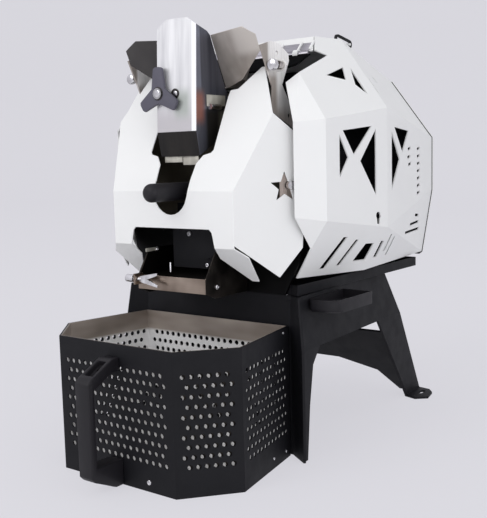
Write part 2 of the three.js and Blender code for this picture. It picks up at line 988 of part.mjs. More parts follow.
// Body shell: nose bevels, side facets, belly facets and shoulder facets
const skin = {
  noseHigh: at(shell.noseHalf, shell.noseY, shell.noseHigh),
  noseLow: at(shell.noseHalf, shell.noseY, shell.noseLow),
  shoulderHigh: at(shell.shoulderHalf, shell.shoulderY, shell.shoulderHigh),
  shoulderLow: at(shell.shoulderHalf, shell.shoulderY, shell.shoulderLow),
  waistHigh: at(shell.waistHalf, shell.waistY, shell.waistHigh),
  waistLow: at(shell.waistHalf, shell.waistY, shell.waistLow),
  tailHigh: at(shell.tailHalf, shell.tailY, shell.tailHigh),
  tailLow: at(shell.tailHalf, shell.tailY, shell.tailLow),
  roofFront: at(shell.roofFrontHalf, shell.roofFrontY, shell.roofHigh),
  roofWaist: at(shell.roofWaistHalf, shell.waistY, shell.roofHigh),
  roofTail: at(shell.roofTailHalf, shell.tailY, shell.roofTailHigh),
  hemFront: at(shell.hemFrontHalf, shell.hemFrontY, shell.hemFrontZ),
  hemWaist: at(shell.hemWaistHalf, shell.waistY, shell.hemWaistZ),
  hemTail: at(shell.hemTailHalf, shell.tailY, shell.hemTailZ),
  chin: at(shell.chinHalf, shell.chinY, shell.chinZ),
  brow: at(shell.browHalf, shell.browY, shell.browZ),
  temple: at(shell.templeHalf, shell.templeY, shell.templeZ),
  notch: at(shell.notchHalf, shell.notchY, shell.notchZ),
  hinge: at(shell.hingeHalf, shell.hingeY, shell.hingeZ),
};

// Cut-outs as shares of two edges of the facet that carries them
function keyholeShares(a, b, acrossHalf, upHalf) {
  const head = Array.from({ length: 9 }, (_, i) => radians(-50 + 35 * i));
  const rim = head.map((angle) => [a + acrossHalf * Math.cos(angle), b + upHalf * Math.sin(angle)]);
  const stem = acrossHalf / 2;
  return [...rim, [a - stem, b - 2 * upHalf], [a + stem, b - 2 * upHalf]];
}
const sideCutShares = [
  [[0.203, 0.884], [0.202, 0.448], [0.341, 0.671]],
  [[0.257, 0.93], [0.429, 0.709], [0.723, 1.047]],
  [[0.796, 1.03], [0.532, 0.658], [0.797, 0.326]],
  keyholeShares(0.833, 0.112, 0.04, 0.044),
];
const quarterCutShares = [
  [[0.083, 0.787], [0.084, 0.282], [0.245, 0.506]],
  [[0.137, 0.811], [0.303, 0.548], [0.434, 0.708]],
];
const bellyCutShares = [
  [[0.399, 1.321], [0.262, 0.235], [0.336, 0.227], [0.46, 1.312]],
  [[0.609, 1.195], [0.497, 0.294], [0.551, 0.285], [0.656, 1.189]],
  [[0.798, 1.016], [0.728, 0.384], [0.92, 0.399], [0.932, 1.011]],
];
const hipCutShares = [
  [[0.02, 0.672], [0.038, 0.27], [0.09, 0.264], [0.069, 0.657]],
  [[0.128, 0.79], [0.158, 0.367], [0.184, 0.365], [0.152, 0.785]],
  [[0.21, 0.7], [0.232, 0.241], [0.258, 0.24], [0.232, 0.695]],
];
const shoulderCutShares = [
  [[0.095, 0.499], [0.398, 0.409], [0.376, 0.573]],
  [[0.497, 0.553], [0.534, 0.338], [0.719, 0.194]],
];
const crownCutShares = [
  [[0.03, 0.444], [0.04, 0.23], [0.055, 0.23], [0.045, 0.444]],
  [[0.205, 0.575], [0.243, 0.5], [0.263, 0.51], [0.225, 0.585]],
];
const ventRowShares = { along: 0.66, bend: 0.01, high: 0.492, low: 0.009, count: 8 };
const ventColumnShares = [[0.451, 0.545], [0.441, 0.474], [0.46, 0.403]];
const ventSlitShares = [
  [[0.43, 0.201], [0.473, 0.26]],
  [[0.246, 0.29], [0.392, 0.369]],
  [[0.083, 0.355], [0.296, 0.499]],
];
const ventHalf = 6.5;
const ventHalfUp = 1.8;

// A short horizontal slot, or a longer slanting one, centred on a facet
function ventSlot(origin, alongEnd, upEnd, from, to) {
  const [start, end] = onFacet(origin, alongEnd, upEnd, [from, to]);
  const normal = alongEnd.clone().sub(origin).cross(upEnd.clone().sub(origin)).normalize();
  const run = end.clone().sub(start).normalize();
  const rise = normal.clone().cross(run).multiplyScalar(ventHalfUp);
  return [
    start.clone().sub(rise),
    end.clone().sub(rise),
    end.clone().add(rise),
    start.clone().add(rise),
  ];
}

function shortVent(origin, alongEnd, upEnd, [a, b]) {
  const width = (2 * ventHalf) / alongEnd.distanceTo(origin);
  return ventSlot(origin, alongEnd, upEnd, [a - width / 2, b], [a + width / 2, b]);
}

function shellHalf() {
  const s = skin;
  const cuts = (origin, alongEnd, upEnd, list) => list.map((one) => onFacet(origin, alongEnd, upEnd, one));
  const row = Array.from({ length: ventRowShares.count }, (_, i) => {
    const share = i / (ventRowShares.count - 1);
    return [ventRowShares.along, ventRowShares.high + share * (ventRowShares.low - ventRowShares.high)];
  });
  const quarterVents = [...row, ...ventColumnShares]
    .filter(([, up]) => up > ventRowShares.bend)
    .map((share) => shortVent(s.waistLow, s.tailLow, s.waistHigh, share));
  const slits = ventSlitShares.map(([from, to]) => ventSlot(s.waistLow, s.tailLow, s.hemTail, from, to));
  const facets = [
    { ring: ['noseLow', 'shoulderLow', 'shoulderHigh', 'noseHigh'] },
    { ring: ['noseHigh', 'shoulderHigh', 'temple', 'brow'] },
    { ring: ['noseLow', 'chin', 'shoulderLow'] },
    {
      ring: ['shoulderLow', 'waistLow', 'waistHigh', 'shoulderHigh'],
      holes: cuts(s.shoulderLow, s.waistLow, s.shoulderHigh, sideCutShares),
    },
    {
      ring: ['waistLow', 'tailLow', 'tailHigh', 'waistHigh'],
      holes: [...cuts(s.waistLow, s.tailLow, s.waistHigh, quarterCutShares), ...quarterVents],
    },
    {
      ring: ['hemFront', 'hemWaist', 'waistLow', 'shoulderLow', 'chin'],
      holes: cuts(s.hemFront, s.hemWaist, s.chin, bellyCutShares),
    },
    {
      ring: ['hemWaist', 'hemTail', 'waistLow'],
      holes: cuts(s.hemWaist, s.hemTail, s.waistLow, hipCutShares),
    },
    { ring: ['hemTail', 'tailLow', 'waistLow'], holes: slits },
    {
      ring: ['shoulderHigh', 'waistHigh', 'roofWaist', 'roofFront', 'hinge', 'notch', 'temple'],
      holes: cuts(s.shoulderHigh, s.waistHigh, s.roofFront, shoulderCutShares),
    },
    {
      ring: ['waistHigh', 'tailHigh', 'roofTail', 'roofWaist'],
      holes: cuts(s.waistHigh, s.tailHigh, s.roofWaist, crownCutShares),
    },
  ];
  return foldedSheet(s, facets, shell.sheet);
}

piece('shell_right', shellHalf(), looks.white);
piece('shell_left', mirrored(shellHalf()), looks.white);

// Rear panel with the fan outlet and the mains inlet
const rearOutline = bothSides([
  [rear.footHalf, rear.footZ],
  [shell.hemTailHalf + rear.rim, shell.hemTailZ - rear.rim / 2],
  [shell.tailHalf + rear.rim, shell.tailLow - rear.rim / 2],
  [shell.tailHalf + rear.rim, shell.tailHigh + rear.rim / 2],
  [shell.roofTailHalf + rear.rim / 2, shell.roofTailHigh + rear.rim],
]);
const inletOutline = rectangle(
  inlet.x - inlet.width / 2 - GAP,
  inlet.x + inlet.width / 2 + GAP,
  inlet.z - inlet.height / 2 - GAP,
  inlet.z + inlet.height / 2 + GAP,
);
const rearHoles = [circle(fan.x, fan.z, fan.bore, ROUND), inletOutline];
piece('rear_panel', frontSlab(rearOutline, rear.frontY, rear.backY, rearHoles), looks.black);

// Front plate of the drum, with the pins of the two rollers
const rollerPlaces = [1, -1].map((sign) => {
  const angle = radians(roller.angle);
  return [sign * roller.orbit * Math.sin(angle), drum.axisZ - roller.orbit * Math.cos(angle)];
});
const plateOutline = bothSides([
  [plate.footHalf, pan.low],
  [plate.hipHalf, plate.hipZ],
  [plate.waistHalf, plate.waistLow],
  [plate.waistHalf, plate.waistHigh],
  [plate.armHalf, plate.armZ],
  [plate.topHalf, plate.topZ],
]);
const plateHoles = [
  rectangle(-plate.portHalf, plate.portHalf, plate.portLow, plate.portHigh),
  rectangle(-plate.feedHalf, plate.feedHalf, plate.feedLow, plate.feedHigh),
  circle(0, trier.z, trier.scoop + RUN, ROUND),
  circle(probe.x, probe.z, probe.radius + GAP),
];
const rollerPins = rollerPlaces.map(([x, z]) =>
  bar(roller.pin, plate.backY - WELD, roller.frontY + roller.width + roller.pin, at(x, 0, z), AXIS_Y, SMALL));
const plateSheet = frontSlab(plateOutline, plate.frontY, plate.backY, plateHoles);
piece('drum_front_plate', joined(plateSheet, ...rollerPins), looks.black);

['right', 'left'].forEach((side, i) => {
  const [x, z] = rollerPlaces[i];
  const tyre = ring(
    roller.pin + RUN, roller.radius, roller.frontY, roller.frontY + roller.width, at(x, 0, z), AXIS_Y, SMALL);
  piece(`drum_roller_${side}`, tyre, looks.steel);
});

const drumAxis = at(0, 0, drum.axisZ);
const housingTube = ring(
  housing.outer - housing.wall, housing.outer, plate.backY + GAP, housing.rearY, drumAxis, AXIS_Y, FINE);
piece('drum_housing', housingTube, looks.black);

// The plate behind the drum follows the section of the shell and the lid there, and carries them
const sectionShare = (bulkhead.backY - shell.waistY) / (shell.tailY - shell.waistY);
const onSection = ([from, to]) => {
  const point = skin[from].clone().lerp(skin[to], sectionShare);
  return [point.x, point.z];
};
const sectionSeams = [
  ['hemWaist', 'hemTail'],
  ['waistLow', 'hemTail'],
  ['waistLow', 'tailLow'],
  ['waistHigh', 'tailHigh'],
  ['waistHigh', 'roofTail'],
  ['roofWaist', 'roofTail'],
];
const sidePitch = (shell.waistHalf - shell.tailHalf) / (shell.tailY - shell.waistY);
const shellReach = shell.sheet * Math.hypot(1, sidePitch) + GAP;
const section = inset(bothSides(sectionSeams.map(onSection)), shellReach);
const sectionHalf = section.slice(0, sectionSeams.length);
const bulkheadOutline = bothSides([
  [bulkhead.footHalf, pan.floor + GAP],
  [bulkhead.footHalf, sectionHalf[0][1]],
  ...sectionHalf,
]);
const bulkheadHoles = [
  circle(0, drum.axisZ, bulkhead.shaftHole, ROUND),
  circle(0, bulkhead.ventZ, bulkhead.ventRadius),
];
const bulkheadSheet = frontSlab(bulkheadOutline, bulkhead.frontY, bulkhead.backY, bulkheadHoles);
piece('drum_rear_plate', bulkheadSheet, looks.black);

// Drum: tube, back wall, front lip and mixing vanes in one welded piece
function drumBody() {
  const { radius, wall: thick, frontY, rearY, lip, mouth, backWall, vanes, vaneReach, vaneInset } = drum;
  const tube = turned(
    [
      [0, rearY],
      [radius, rearY],
      [radius, frontY],
      [mouth, frontY],
      [mouth, frontY + lip],
      [radius - thick, frontY + lip],
      [radius - thick, rearY - backWall],
      [0, rearY - backWall],
    ],
    drumAxis, AXIS_Y, FINE);
  const blades = Array.from({ length: vanes }, (_, i) => {
    const outer = radius - thick / 2;
    const span = rectangle(outer - vaneReach, outer, -thick / 2, thick / 2);
    const blade = slab(span, rearY - frontY - 2 * vaneInset, at(0, 0, 0), AXIS_X, AXIS_Z);
    blade.rotateY((2 * Math.PI * (i + 1 / 2)) / vanes);
    return blade.translate(0, rearY - vaneInset, drum.axisZ);
  });
  return joined(tube, ...blades);
}
piece('drum', drumBody(), looks.steel);

const drumShaft = turned(
  [
    [0, shaft.frontY],
    [shaft.flange, shaft.frontY],
    [shaft.flange, shaft.frontY + shaft.flangeDepth],
    [shaft.radius, shaft.frontY + shaft.flangeDepth],
    [shaft.radius, shaft.tailY],
    [0, shaft.tailY],
  ],
  drumAxis, AXIS_Y);
piece('drum_shaft', drumShaft, looks.steel);

const bearingFront = bulkhead.backY + GAP;
const rearBearing = turned(
  [
    [shaft.radius + RUN, bearingFront],
    [bearing.flange, bearingFront],
    [bearing.flange, bearingFront + bearing.flangeDepth],
    [bearing.outer, bearingFront + bearing.flangeDepth],
    [bearing.outer, bearingFront + bearing.depth],
    [shaft.radius + RUN, bearingFront + bearing.depth],
  ],
  drumAxis, AXIS_Y);
piece('rear_bearing', rearBearing, looks.steel);

const pulley = (bore, radius, origin) =>
  ring(bore + GAP, radius, drive.pulleyFrontY, drive.pulleyBackY, origin, AXIS_Y);
const motorAxis = at(drive.motorX, 0, drive.motorZ);
piece('drum_pulley', pulley(shaft.radius, drive.bigRadius, drumAxis), looks.steel);
piece('motor_pulley', pulley(drive.motorShaft, drive.smallRadius, motorAxis), looks.steel);

// Outline of a belt round two circles
function loopAround(extra) {
  const dx = drive.motorX;
  const dz = drive.motorZ - drum.axisZ;
  const spacing = Math.hypot(dx, dz);
  const heading = Math.atan2(dz, dx);
  const open = Math.acos((drive.bigRadius - drive.smallRadius) / spacing);
  const arc = (a, b, radius, from, to, count) => Array.from({ length: count + 1 }, (_, i) => {
    const angle = from + ((to - from) * i) / count;
    return [a + radius * Math.cos(angle), b + radius * Math.sin(angle)];
  });
  const last = heading + 2 * Math.PI - open;
  const big = arc(0, drum.axisZ, drive.bigRadius + extra, heading + open, last, ROUND);
  const smallRadius = drive.smallRadius + extra;
  const small = arc(drive.motorX, drive.motorZ, smallRadius, heading - open, heading + open, SMALL);
  return [...big, ...small];
}
const beltFront = drive.pulleyFrontY + drive.beltInset;
const beltBack = drive.pulleyBackY - drive.beltInset;
const belt = frontSlab(loopAround(GAP + drive.beltThick), beltFront, beltBack, [loopAround(GAP)]);
piece('drive_belt', belt, looks.rubber);

// Drum motor on its bracket
const bracketLow = pan.floor + GAP;
const bracketOutline = [
  [drive.bracketOuter, bracketLow],
  [drive.bracketInner, bracketLow],
  [drive.bracketInner, drive.bracketTop - drive.bracketShoulder],
  [drive.bracketInner - drive.bracketShoulder, drive.bracketTop],
  [drive.bracketOuter, drive.bracketTop],
];
const motorHole = circle(drive.motorX, drive.motorZ, drive.motorNeck);
const bracketWall = frontSlab(bracketOutline, drive.bracketFrontY, drive.bracketBackY, [motorHole]);
const bracketFoot = block(
  drive.bracketOuter, drive.bracketInner, drive.bracketFrontY, drive.bracketBackY + drive.bracketFoot,
  bracketLow, bracketLow + drive.bracketSheet);
piece('motor_bracket', joined(bracketWall, bracketFoot), looks.black);

const motorBody = turned(
  [
    [drive.motorShaft + RUN, drive.motorFrontY],
    [drive.motorRadius, drive.motorFrontY],
    [drive.motorRadius, drive.motorRearY],
    [0, drive.motorRearY],
    [0, drive.motorFrontY + drive.shaftSeat],
    [drive.motorShaft + RUN, drive.motorFrontY + drive.shaftSeat],
    [drive.motorShaft + RUN, drive.motorFrontY],
  ],
  motorAxis, AXIS_Y);
piece('drum_motor', motorBody, looks.steel);
const motorShaftEnd = drive.motorFrontY + drive.shaftSeat - RUN;
const motorShaft = bar(drive.motorShaft, drive.pulleyFrontY, motorShaftEnd, motorAxis, AXIS_Y);
piece('motor_shaft', motorShaft, looks.steel);

// Exhaust fan: frame with a spider, rotor and the collar outside
const fanAxis = at(fan.x, 0, fan.z);
function fanFrame() {
  const backY = rear.frontY - GAP;
  const square = rectangle(fan.x - fan.half, fan.x + fan.half, fan.z - fan.half, fan.z + fan.half);
  const frame = frontSlab(square, fan.frontY, backY, [circle(fan.x, fan.z, fan.bore, ROUND)]);
  const hub = bar(fan.hub, fan.frontY, fan.frontY + fan.strutDepth, fanAxis, AXIS_Y, SMALL);
  const axle = bar(fan.axle, fan.frontY, fan.rotorFrontY + fan.rotorDepth, fanAxis, AXIS_Y, SMALL);
  const reach = fan.bore + WELD;
  const half = fan.strut / 2;
  const struts = [
    block(fan.x - reach, fan.x + reach, fan.frontY, fan.frontY + fan.strutDepth, fan.z - half, fan.z + half),
    block(fan.x - half, fan.x + half, fan.frontY, fan.frontY + fan.strutDepth, fan.z - reach, fan.z + reach),
  ];
  return joined(frame, hub, axle, ...struts);
}
piece('fan_frame', fanFrame(), looks.plastic);

function fanRotor() {
  const frontY = fan.rotorFrontY;
  const hub = ring(fan.axle + RUN, fan.hub, frontY, frontY + fan.rotorDepth, fanAxis, AXIS_Y, SMALL);
  const blades = Array.from({ length: fan.blades }, (_, i) => {
    const half = fan.bladeDepth / 2;
    const blade = block(fan.hub - WELD, fan.bladeTip, -half, half, -fan.bladeThick / 2, fan.bladeThick / 2);
    blade.rotateX(radians(fan.bladePitch));
    blade.rotateY((2 * Math.PI * i) / fan.blades);
    return blade.translate(fan.x, frontY + fan.rotorDepth / 2, fan.z);
  });
  return joined(hub, ...blades);
}
piece('fan_rotor', fanRotor(), looks.plastic);

const collarY = rear.backY + GAP;
const collar = turned(
  [
    [fan.collarOuter - fan.collarWall, collarY],
    [fan.collarFlange, collarY],
    [fan.collarFlange, collarY + fan.collarSheet],
    [fan.collarOuter, collarY + fan.collarSheet],
    [fan.collarOuter, collarY + fan.collarSheet + fan.collarDepth],
    [fan.collarOuter - fan.collarWall, collarY + fan.collarSheet + fan.collarDepth],
  ],
  fanAxis, AXIS_Y);
piece('exhaust_collar', collar, looks.stainless);

// Heating element: a hairpin below the drum that ends at the rear plate
const heaterRear = bulkhead.frontY - GAP;
const heaterOutline = [
  [heater.half, heaterRear],
  [heater.half, heater.frontY],
  [-heater.half, heater.frontY],
  [-heater.half, heaterRear],
  [-heater.half + heater.bar, heaterRear],
  [-heater.half + heater.bar, heater.frontY + heater.bar],
  [heater.half - heater.bar, heater.frontY + heater.bar],
  [heater.half - heater.bar, heaterRear],
];
piece('heating_element', floorSlab(heaterOutline, heater.low, heater.low + heater.bar), looks.copper);

const probeSeat = plate.frontY - GAP;
const probeBody = turned(
  [
    [0, probeSeat - probe.headDepth],
    [probe.head, probeSeat - probe.headDepth],
    [probe.head, probeSeat],
    [probe.radius, probeSeat],
    [probe.radius, probe.reach],
    [0, probe.reach],
  ],
  at(probe.x, 0, probe.z), AXIS_Y, SMALL);
piece('temperature_probe', probeBody, looks.steel);

const boardLow = pan.floor + GAP;
const boardBody = block(
  board.x - board.length / 2, board.x + board.length / 2,
  board.y - board.width / 2, board.y + board.width / 2,
  boardLow, boardLow + board.thick);
piece('control_board', boardBody, looks.green);

// Mains inlet block with its socket, and the rocker switch in the pocket above
const inletBack = rear.backY + inlet.proud;
const inletBlock = block(
  inlet.x - inlet.width / 2, inlet.x + inlet.width / 2, inlet.frontY, inletBack,
  inlet.z - inlet.height / 2, inlet.z + inlet.height / 2);
const socket = block(
  inlet.x - inlet.socketHalf, inlet.x + inlet.socketHalf, inletBack - inlet.socketDepth, inletBack + CUT,
  inlet.socketLow, inlet.socketHigh);
const pocket = block(
  inlet.x - inlet.pocketHalf, inlet.x + inlet.pocketHalf, inletBack - inlet.pocketDepth, inletBack + CUT,
  inlet.pocketZ - inlet.pocketHalfHeight, inlet.pocketZ + inlet.pocketHalfHeight);
piece('power_inlet', cutBy(inletBlock, socket, pocket), looks.plastic);

const rockerY = (depth) => inletBack - inlet.pocketDepth + depth;
const rockerOutline = [
  [rockerY(inlet.rockerLift), inlet.pocketZ - inlet.rockerFoot],
  [rockerY(inlet.rockerShoulder), inlet.pocketZ - inlet.rockerTop],
  [rockerY(inlet.rockerProud), inlet.pocketZ - inlet.rockerTop],
  [rockerY(inlet.rockerValley), inlet.pocketZ],
  [rockerY(inlet.rockerProud), inlet.pocketZ + inlet.rockerTop],
  [rockerY(inlet.rockerShoulder), inlet.pocketZ + inlet.rockerTop],
  [rockerY(inlet.rockerLift), inlet.pocketZ + inlet.rockerFoot],
];
const rocker = sideSlab(rockerOutline, inlet.x - inlet.rockerHalf, inlet.x + inlet.rockerHalf);
piece('power_switch', rocker, looks.plastic);

// Roof lid: front strip, flat and slope between the two shells, with the lug of its pull loop
// and the knuckles that turn on the hinge rod
const rodAxis = at(0, rod.y, rod.z);
const roofSlope = (shell.roofTailHigh - shell.roofHigh) / (shell.tailY - shell.waistY);
const roofAt = (y) => shell.roofHigh + roofSlope * (y - shell.waistY);
const loopZ = roofAt(loop.tailY) + loop.lift;
const knuckleRadius = rod.radius + RUN + lid.knuckle;
const knuckleXs = [lid.knuckleInnerX, lid.knuckleOuterX];
function roofLid() {
  const trim = lid.seam;
  const corners = {};
  for (const [side, sign] of [['r', 1], ['l', -1]]) {
    corners[`${side}Hinge`] = at(sign * (shell.hingeHalf - lid.hingeTrim), shell.hingeY, shell.hingeZ);
    corners[`${side}Front`] = at(sign * (shell.roofFrontHalf - trim), shell.roofFrontY, shell.roofHigh);
    corners[`${side}Waist`] = at(sign * (shell.roofWaistHalf - trim), shell.waistY, shell.roofHigh);
    const tailX = sign * (shell.roofTailHalf - trim);
    corners[`${side}Tail`] = at(tailX, shell.tailY - lid.rearTrim, shell.roofTailHigh);
  }
  const sheet = foldedSheet(corners, [
    { ring: ['lHinge', 'rHinge', 'rFront', 'lFront'] },
    { ring: ['lFront', 'rFront', 'rWaist', 'lWaist'] },
    { ring: ['lWaist', 'rWaist', 'rTail', 'lTail'] },
  ], lid.sheet);
  const lugRight = loop.x - GAP;
  const lug = block(
    lugRight - loop.lug, lugRight, loop.tailY - loop.lugHalf, loop.tailY + loop.lugHalf,
    roofAt(loop.tailY) - lid.sheet / 2, loopZ + loop.pin);
  const pin = bar(
    loop.pin, lugRight - WELD, loop.x + loop.thick + GAP, at(0, loop.tailY, loopZ), AXIS_X, SMALL);
  const half = lid.knuckleWidth / 2;
  const knuckles = knuckleXs.flatMap((x) => [x, -x]).map((x) =>
    ring(rod.radius + RUN, knuckleRadius, x - half, x + half, rodAxis, AXIS_X, SMALL));
  return joined(sheet, lug, pin, ...knuckles);
}
piece('roof_lid', roofLid(), looks.white);

// Pull loop: a flat ring of wire that leans forwards and up
function pullLoop() {
  const tilt = Math.atan2(loop.rise, loop.length);
  const outline = capsule(0, 0, loop.length / 2, loop.outer);
  const hole = capsule(0, 0, loop.length / 2, loop.inner);
  const along = at(0, -Math.cos(tilt), Math.sin(tilt));
  const across = along.clone().cross(AXIS_X);
  const centre = at(loop.x, loop.tailY, loopZ).addScaledVector(along, loop.length / 2);
  return slab(outline, loop.thick, centre, across, along, [hole]);
}
piece('lid_pull_loop', pullLoop(), looks.black);
piece('roof_hinge_rod', bar(rod.radius, -rod.half, rod.half, rodAxis, AXIS_X, SMALL), looks.steel);

// Baffle: slopes up from the hopper's back wall to the hinge rod, with notches for the knuckles
function topBaffle() {
  const front = at(0, hopper.backY + GAP + baffle.sheet / 2, rod.z - baffle.drop);
  const up = rodAxis.clone().sub(front);
  const length = up.length();
  up.normalize();
  const along = (y) => (y - front.y) / up.y;
  const edge = length - rod.radius - GAP;
  const notch = length - knuckleRadius - 2 * GAP;
  const notchHalf = lid.knuckleWidth / 2 + 2 * GAP;
  const notches = [...knuckleXs].reverse().flatMap((x) => [
    [x + notchHalf, edge],
    [x + notchHalf, notch],
    [x - notchHalf, notch],
    [x - notchHalf, edge],
  ]);
  const outline = bothSides([
    [baffle.half, 0],
    [baffle.half, along(baffle.stepY)],
    [baffle.wideHalf, along(baffle.wideY)],
    [baffle.wideHalf, edge],
    ...notches,
  ]);
  const drop = AXIS_X.clone().cross(up).multiplyScalar(baffle.sheet / 2);
  return slab(outline, baffle.sheet, front.sub(drop), AXIS_X, up);
}
piece('top_baffle', topBaffle(), looks.black);

// Front cover
const coverLean = (x, z) => at(x, cover.frontY + cover.lean * (z - cover.bendHigh), z);
const slew = radians(cover.slew);
const cheek = (out, z, sink = 0) => at(
  cover.half + out * Math.sin(slew) - sink * Math.cos(slew),
  cover.frontY + out * Math.cos(slew) + sink * Math.sin(slew),
  z);

function star() {
  return Array.from({ length: 2 * cover.starPoints }, (_, i) => {
    const radius = i % 2 === 0 ? cover.starRadius : cover.starInner;
    const angle = Math.PI / 2 + (Math.PI * i) / cover.starPoints;
    return cheek(cover.starOut - radius * Math.cos(angle), cover.starZ + radius * Math.sin(angle));
  });
}

function frontCover() {
  const c = cover;
  const dip = radians(c.flapDip);
  const flap = (x, run) => at(x, c.frontY + run * Math.cos(dip), c.low - run * Math.sin(dip));
  const front = (x, z) => at(x, c.frontY, z);
  const bendRise = (c.cheekZ - c.bendHigh) * c.lean;
  const half = {
    Low: front(c.half, c.low),
    Bend: front(c.half, c.bendLow),
    Ridge: front(c.half, c.bendHigh),
    Cheek: coverLean(c.half + bendRise * Math.tan(slew), c.cheekZ),
    Top: coverLean(c.topHalf, c.topZ),
    Crest: coverLean(c.crestHalf, c.topZ),
    Neck: coverLean(c.neckHalf, c.neckZ),
    BayHigh: coverLean(c.bayHalf + c.bayEase, c.bayHigh),
    BayShoulder: coverLean(c.bayHalf, c.bayShoulder),
    BayLow: coverLean(c.bayHalf + c.bayEase, c.bayLow),
    Ledge: coverLean(c.ledgeHalf, c.ledgeZ),
    Throat: coverLean(c.throatHalf, c.throatZ),
    Waist: coverLean(c.waistHalf, c.waistZ),
    Slot: coverLean(c.slotHalf, c.slotZ),
    SlotEdge: front(c.slotEdge, c.bendHigh),
    MouthFoot: front(c.mouthFootHalf, c.low),
    MouthSide: front(c.mouthHalf, c.mouthHigh - c.mouthCorner),
    MouthTop: front(c.mouthHalf - c.mouthCorner, c.mouthHigh),
    CheekOut: cheek(c.cheekOut, c.cheekOutZ),
    EndHigh: cheek(c.cheekEnd, c.cheekEndHigh),
    EndLow: cheek(c.cheekEnd, c.cheekEndLow),
    JawBack: cheek(c.cheekEnd - c.jawEase, c.jawBackZ),
    Jaw: cheek(c.jawOut, c.jawZ),
    FlapWide: flap(c.flapWideHalf, c.flapWide),
    FlapTip: flap(c.flapTipHalf, c.flapLong),
    FlapTipIn: flap(c.flapTipInner, c.flapLong),
    FlapIn: flap(c.flapInnerHalf, c.flapInner),
  };
  const rounds = 5;
  for (let i = 1; i <= rounds; i += 1) {
    const angle = (Math.PI / 2) * (i / (rounds + 1));
    const depth = c.bendHigh - c.slotFloor;
    half[`Round${i}`] = front(c.slotRound * Math.cos(angle), c.bendHigh - depth * Math.sin(angle));
  }
  const corners = { floor: front(0, c.slotFloor) };
  for (const [name, point] of Object.entries(half)) {
    corners[`r${name}`] = point;
    corners[`l${name}`] = at(-point.x, point.y, point.z);
  }
  const roundNames = Array.from({ length: rounds }, (_, i) => `Round${i + 1}`);
  const right = (names) => names.map((name) => `r${name}`);
  const left = (names) => names.map((name) => `l${name}`).reverse();
  const frontHalf = ['Low', 'Bend', 'Ridge', 'SlotEdge', ...roundNames];
  const mouthHalf = ['MouthFoot', 'MouthSide', 'MouthTop'];
  const upper = [
    'Ridge', 'Cheek', 'Top', 'Crest', 'Neck', 'BayHigh', 'BayShoulder', 'BayLow', 'Ledge', 'Throat',
    'Waist', 'Slot', 'SlotEdge',
  ];
  const side = ['Bend', 'Jaw', 'JawBack', 'EndLow', 'EndHigh', 'CheekOut', 'Cheek', 'Ridge'];
  const flapNames = ['MouthFoot', 'FlapIn', 'FlapTipIn', 'FlapTip', 'FlapWide', 'Low'];
  const holes = [star()];
  const mouth = [...left(mouthHalf).reverse(), ...right(mouthHalf).reverse()];
  const frontRing = [...right(frontHalf), 'floor', ...left(frontHalf), ...mouth];
  const facets = [
    { ring: frontRing },
    { ring: right(upper) },
    { ring: left(upper) },
    { ring: right(side), holes },
    { ring: left(side), holes: holes.map((hole) => hole.map((point) => at(-point.x, point.y, point.z))) },
    { ring: right(flapNames) },
    { ring: left(flapNames) },
  ];
  return foldedSheet(corners, facets, c.sheet);
}
piece('front_cover', frontCover(), looks.white);

// Screw through the star and the bracket that it holds on to
const cheekNormal = at(Math.cos(slew), -Math.sin(slew), 0);
function coverScrewBody() {
  const { out, rise, head, headDepth, shank, reach } = coverScrew;
  const origin = cheek(out, cover.starZ + rise);
  const top = GAP + headDepth;
  const profile = [[0, -reach], [shank, -reach], [shank, GAP], [head, GAP], [head, top], [0, top]];
  return turned(profile, origin, cheekNormal, 2 * HEX);
}
function coverBracketBody() {
  const { sheet, out, low, high, flange } = coverBracket;
  const sink = cover.sheet + GAP;
  const seatY = plate.frontY - GAP;
  const foldOut = (seatY - cover.frontY - sink * Math.sin(slew)) / Math.cos(slew);
  const foldX = cheek(foldOut, low, sink).x;
  const corners = {
    frontLow: cheek(out, low, sink),
    frontHigh: cheek(out, high, sink),
    foldLow: cheek(foldOut, low, sink),
    foldHigh: cheek(foldOut, high, sink),
    innerLow: at(foldX - flange, seatY, low),
    innerHigh: at(foldX - flange, seatY, high),
  };
  const hole = Array.from({ length: SMALL }, (_, i) => {
    const angle = (2 * Math.PI * i) / SMALL;
    const radius = coverScrew.shank + GAP;
    const level = cover.starZ + coverScrew.rise;
    return cheek(coverScrew.out + radius * Math.cos(angle), level + radius * Math.sin(angle), sink);
  });
  return foldedSheet(corners, [
    { ring: ['frontLow', 'foldLow', 'foldHigh', 'frontHigh'], holes: [hole] },
    { ring: ['foldLow', 'innerLow', 'innerHigh', 'foldHigh'] },
  ], sheet);
}
piece('cover_screw_right', coverScrewBody(), looks.chrome);
piece('cover_screw_left', mirrored(coverScrewBody()), looks.chrome);
piece('cover_bracket_right', coverBracketBody(), looks.black);
piece('cover_bracket_left', mirrored(coverBracketBody()), looks.black);

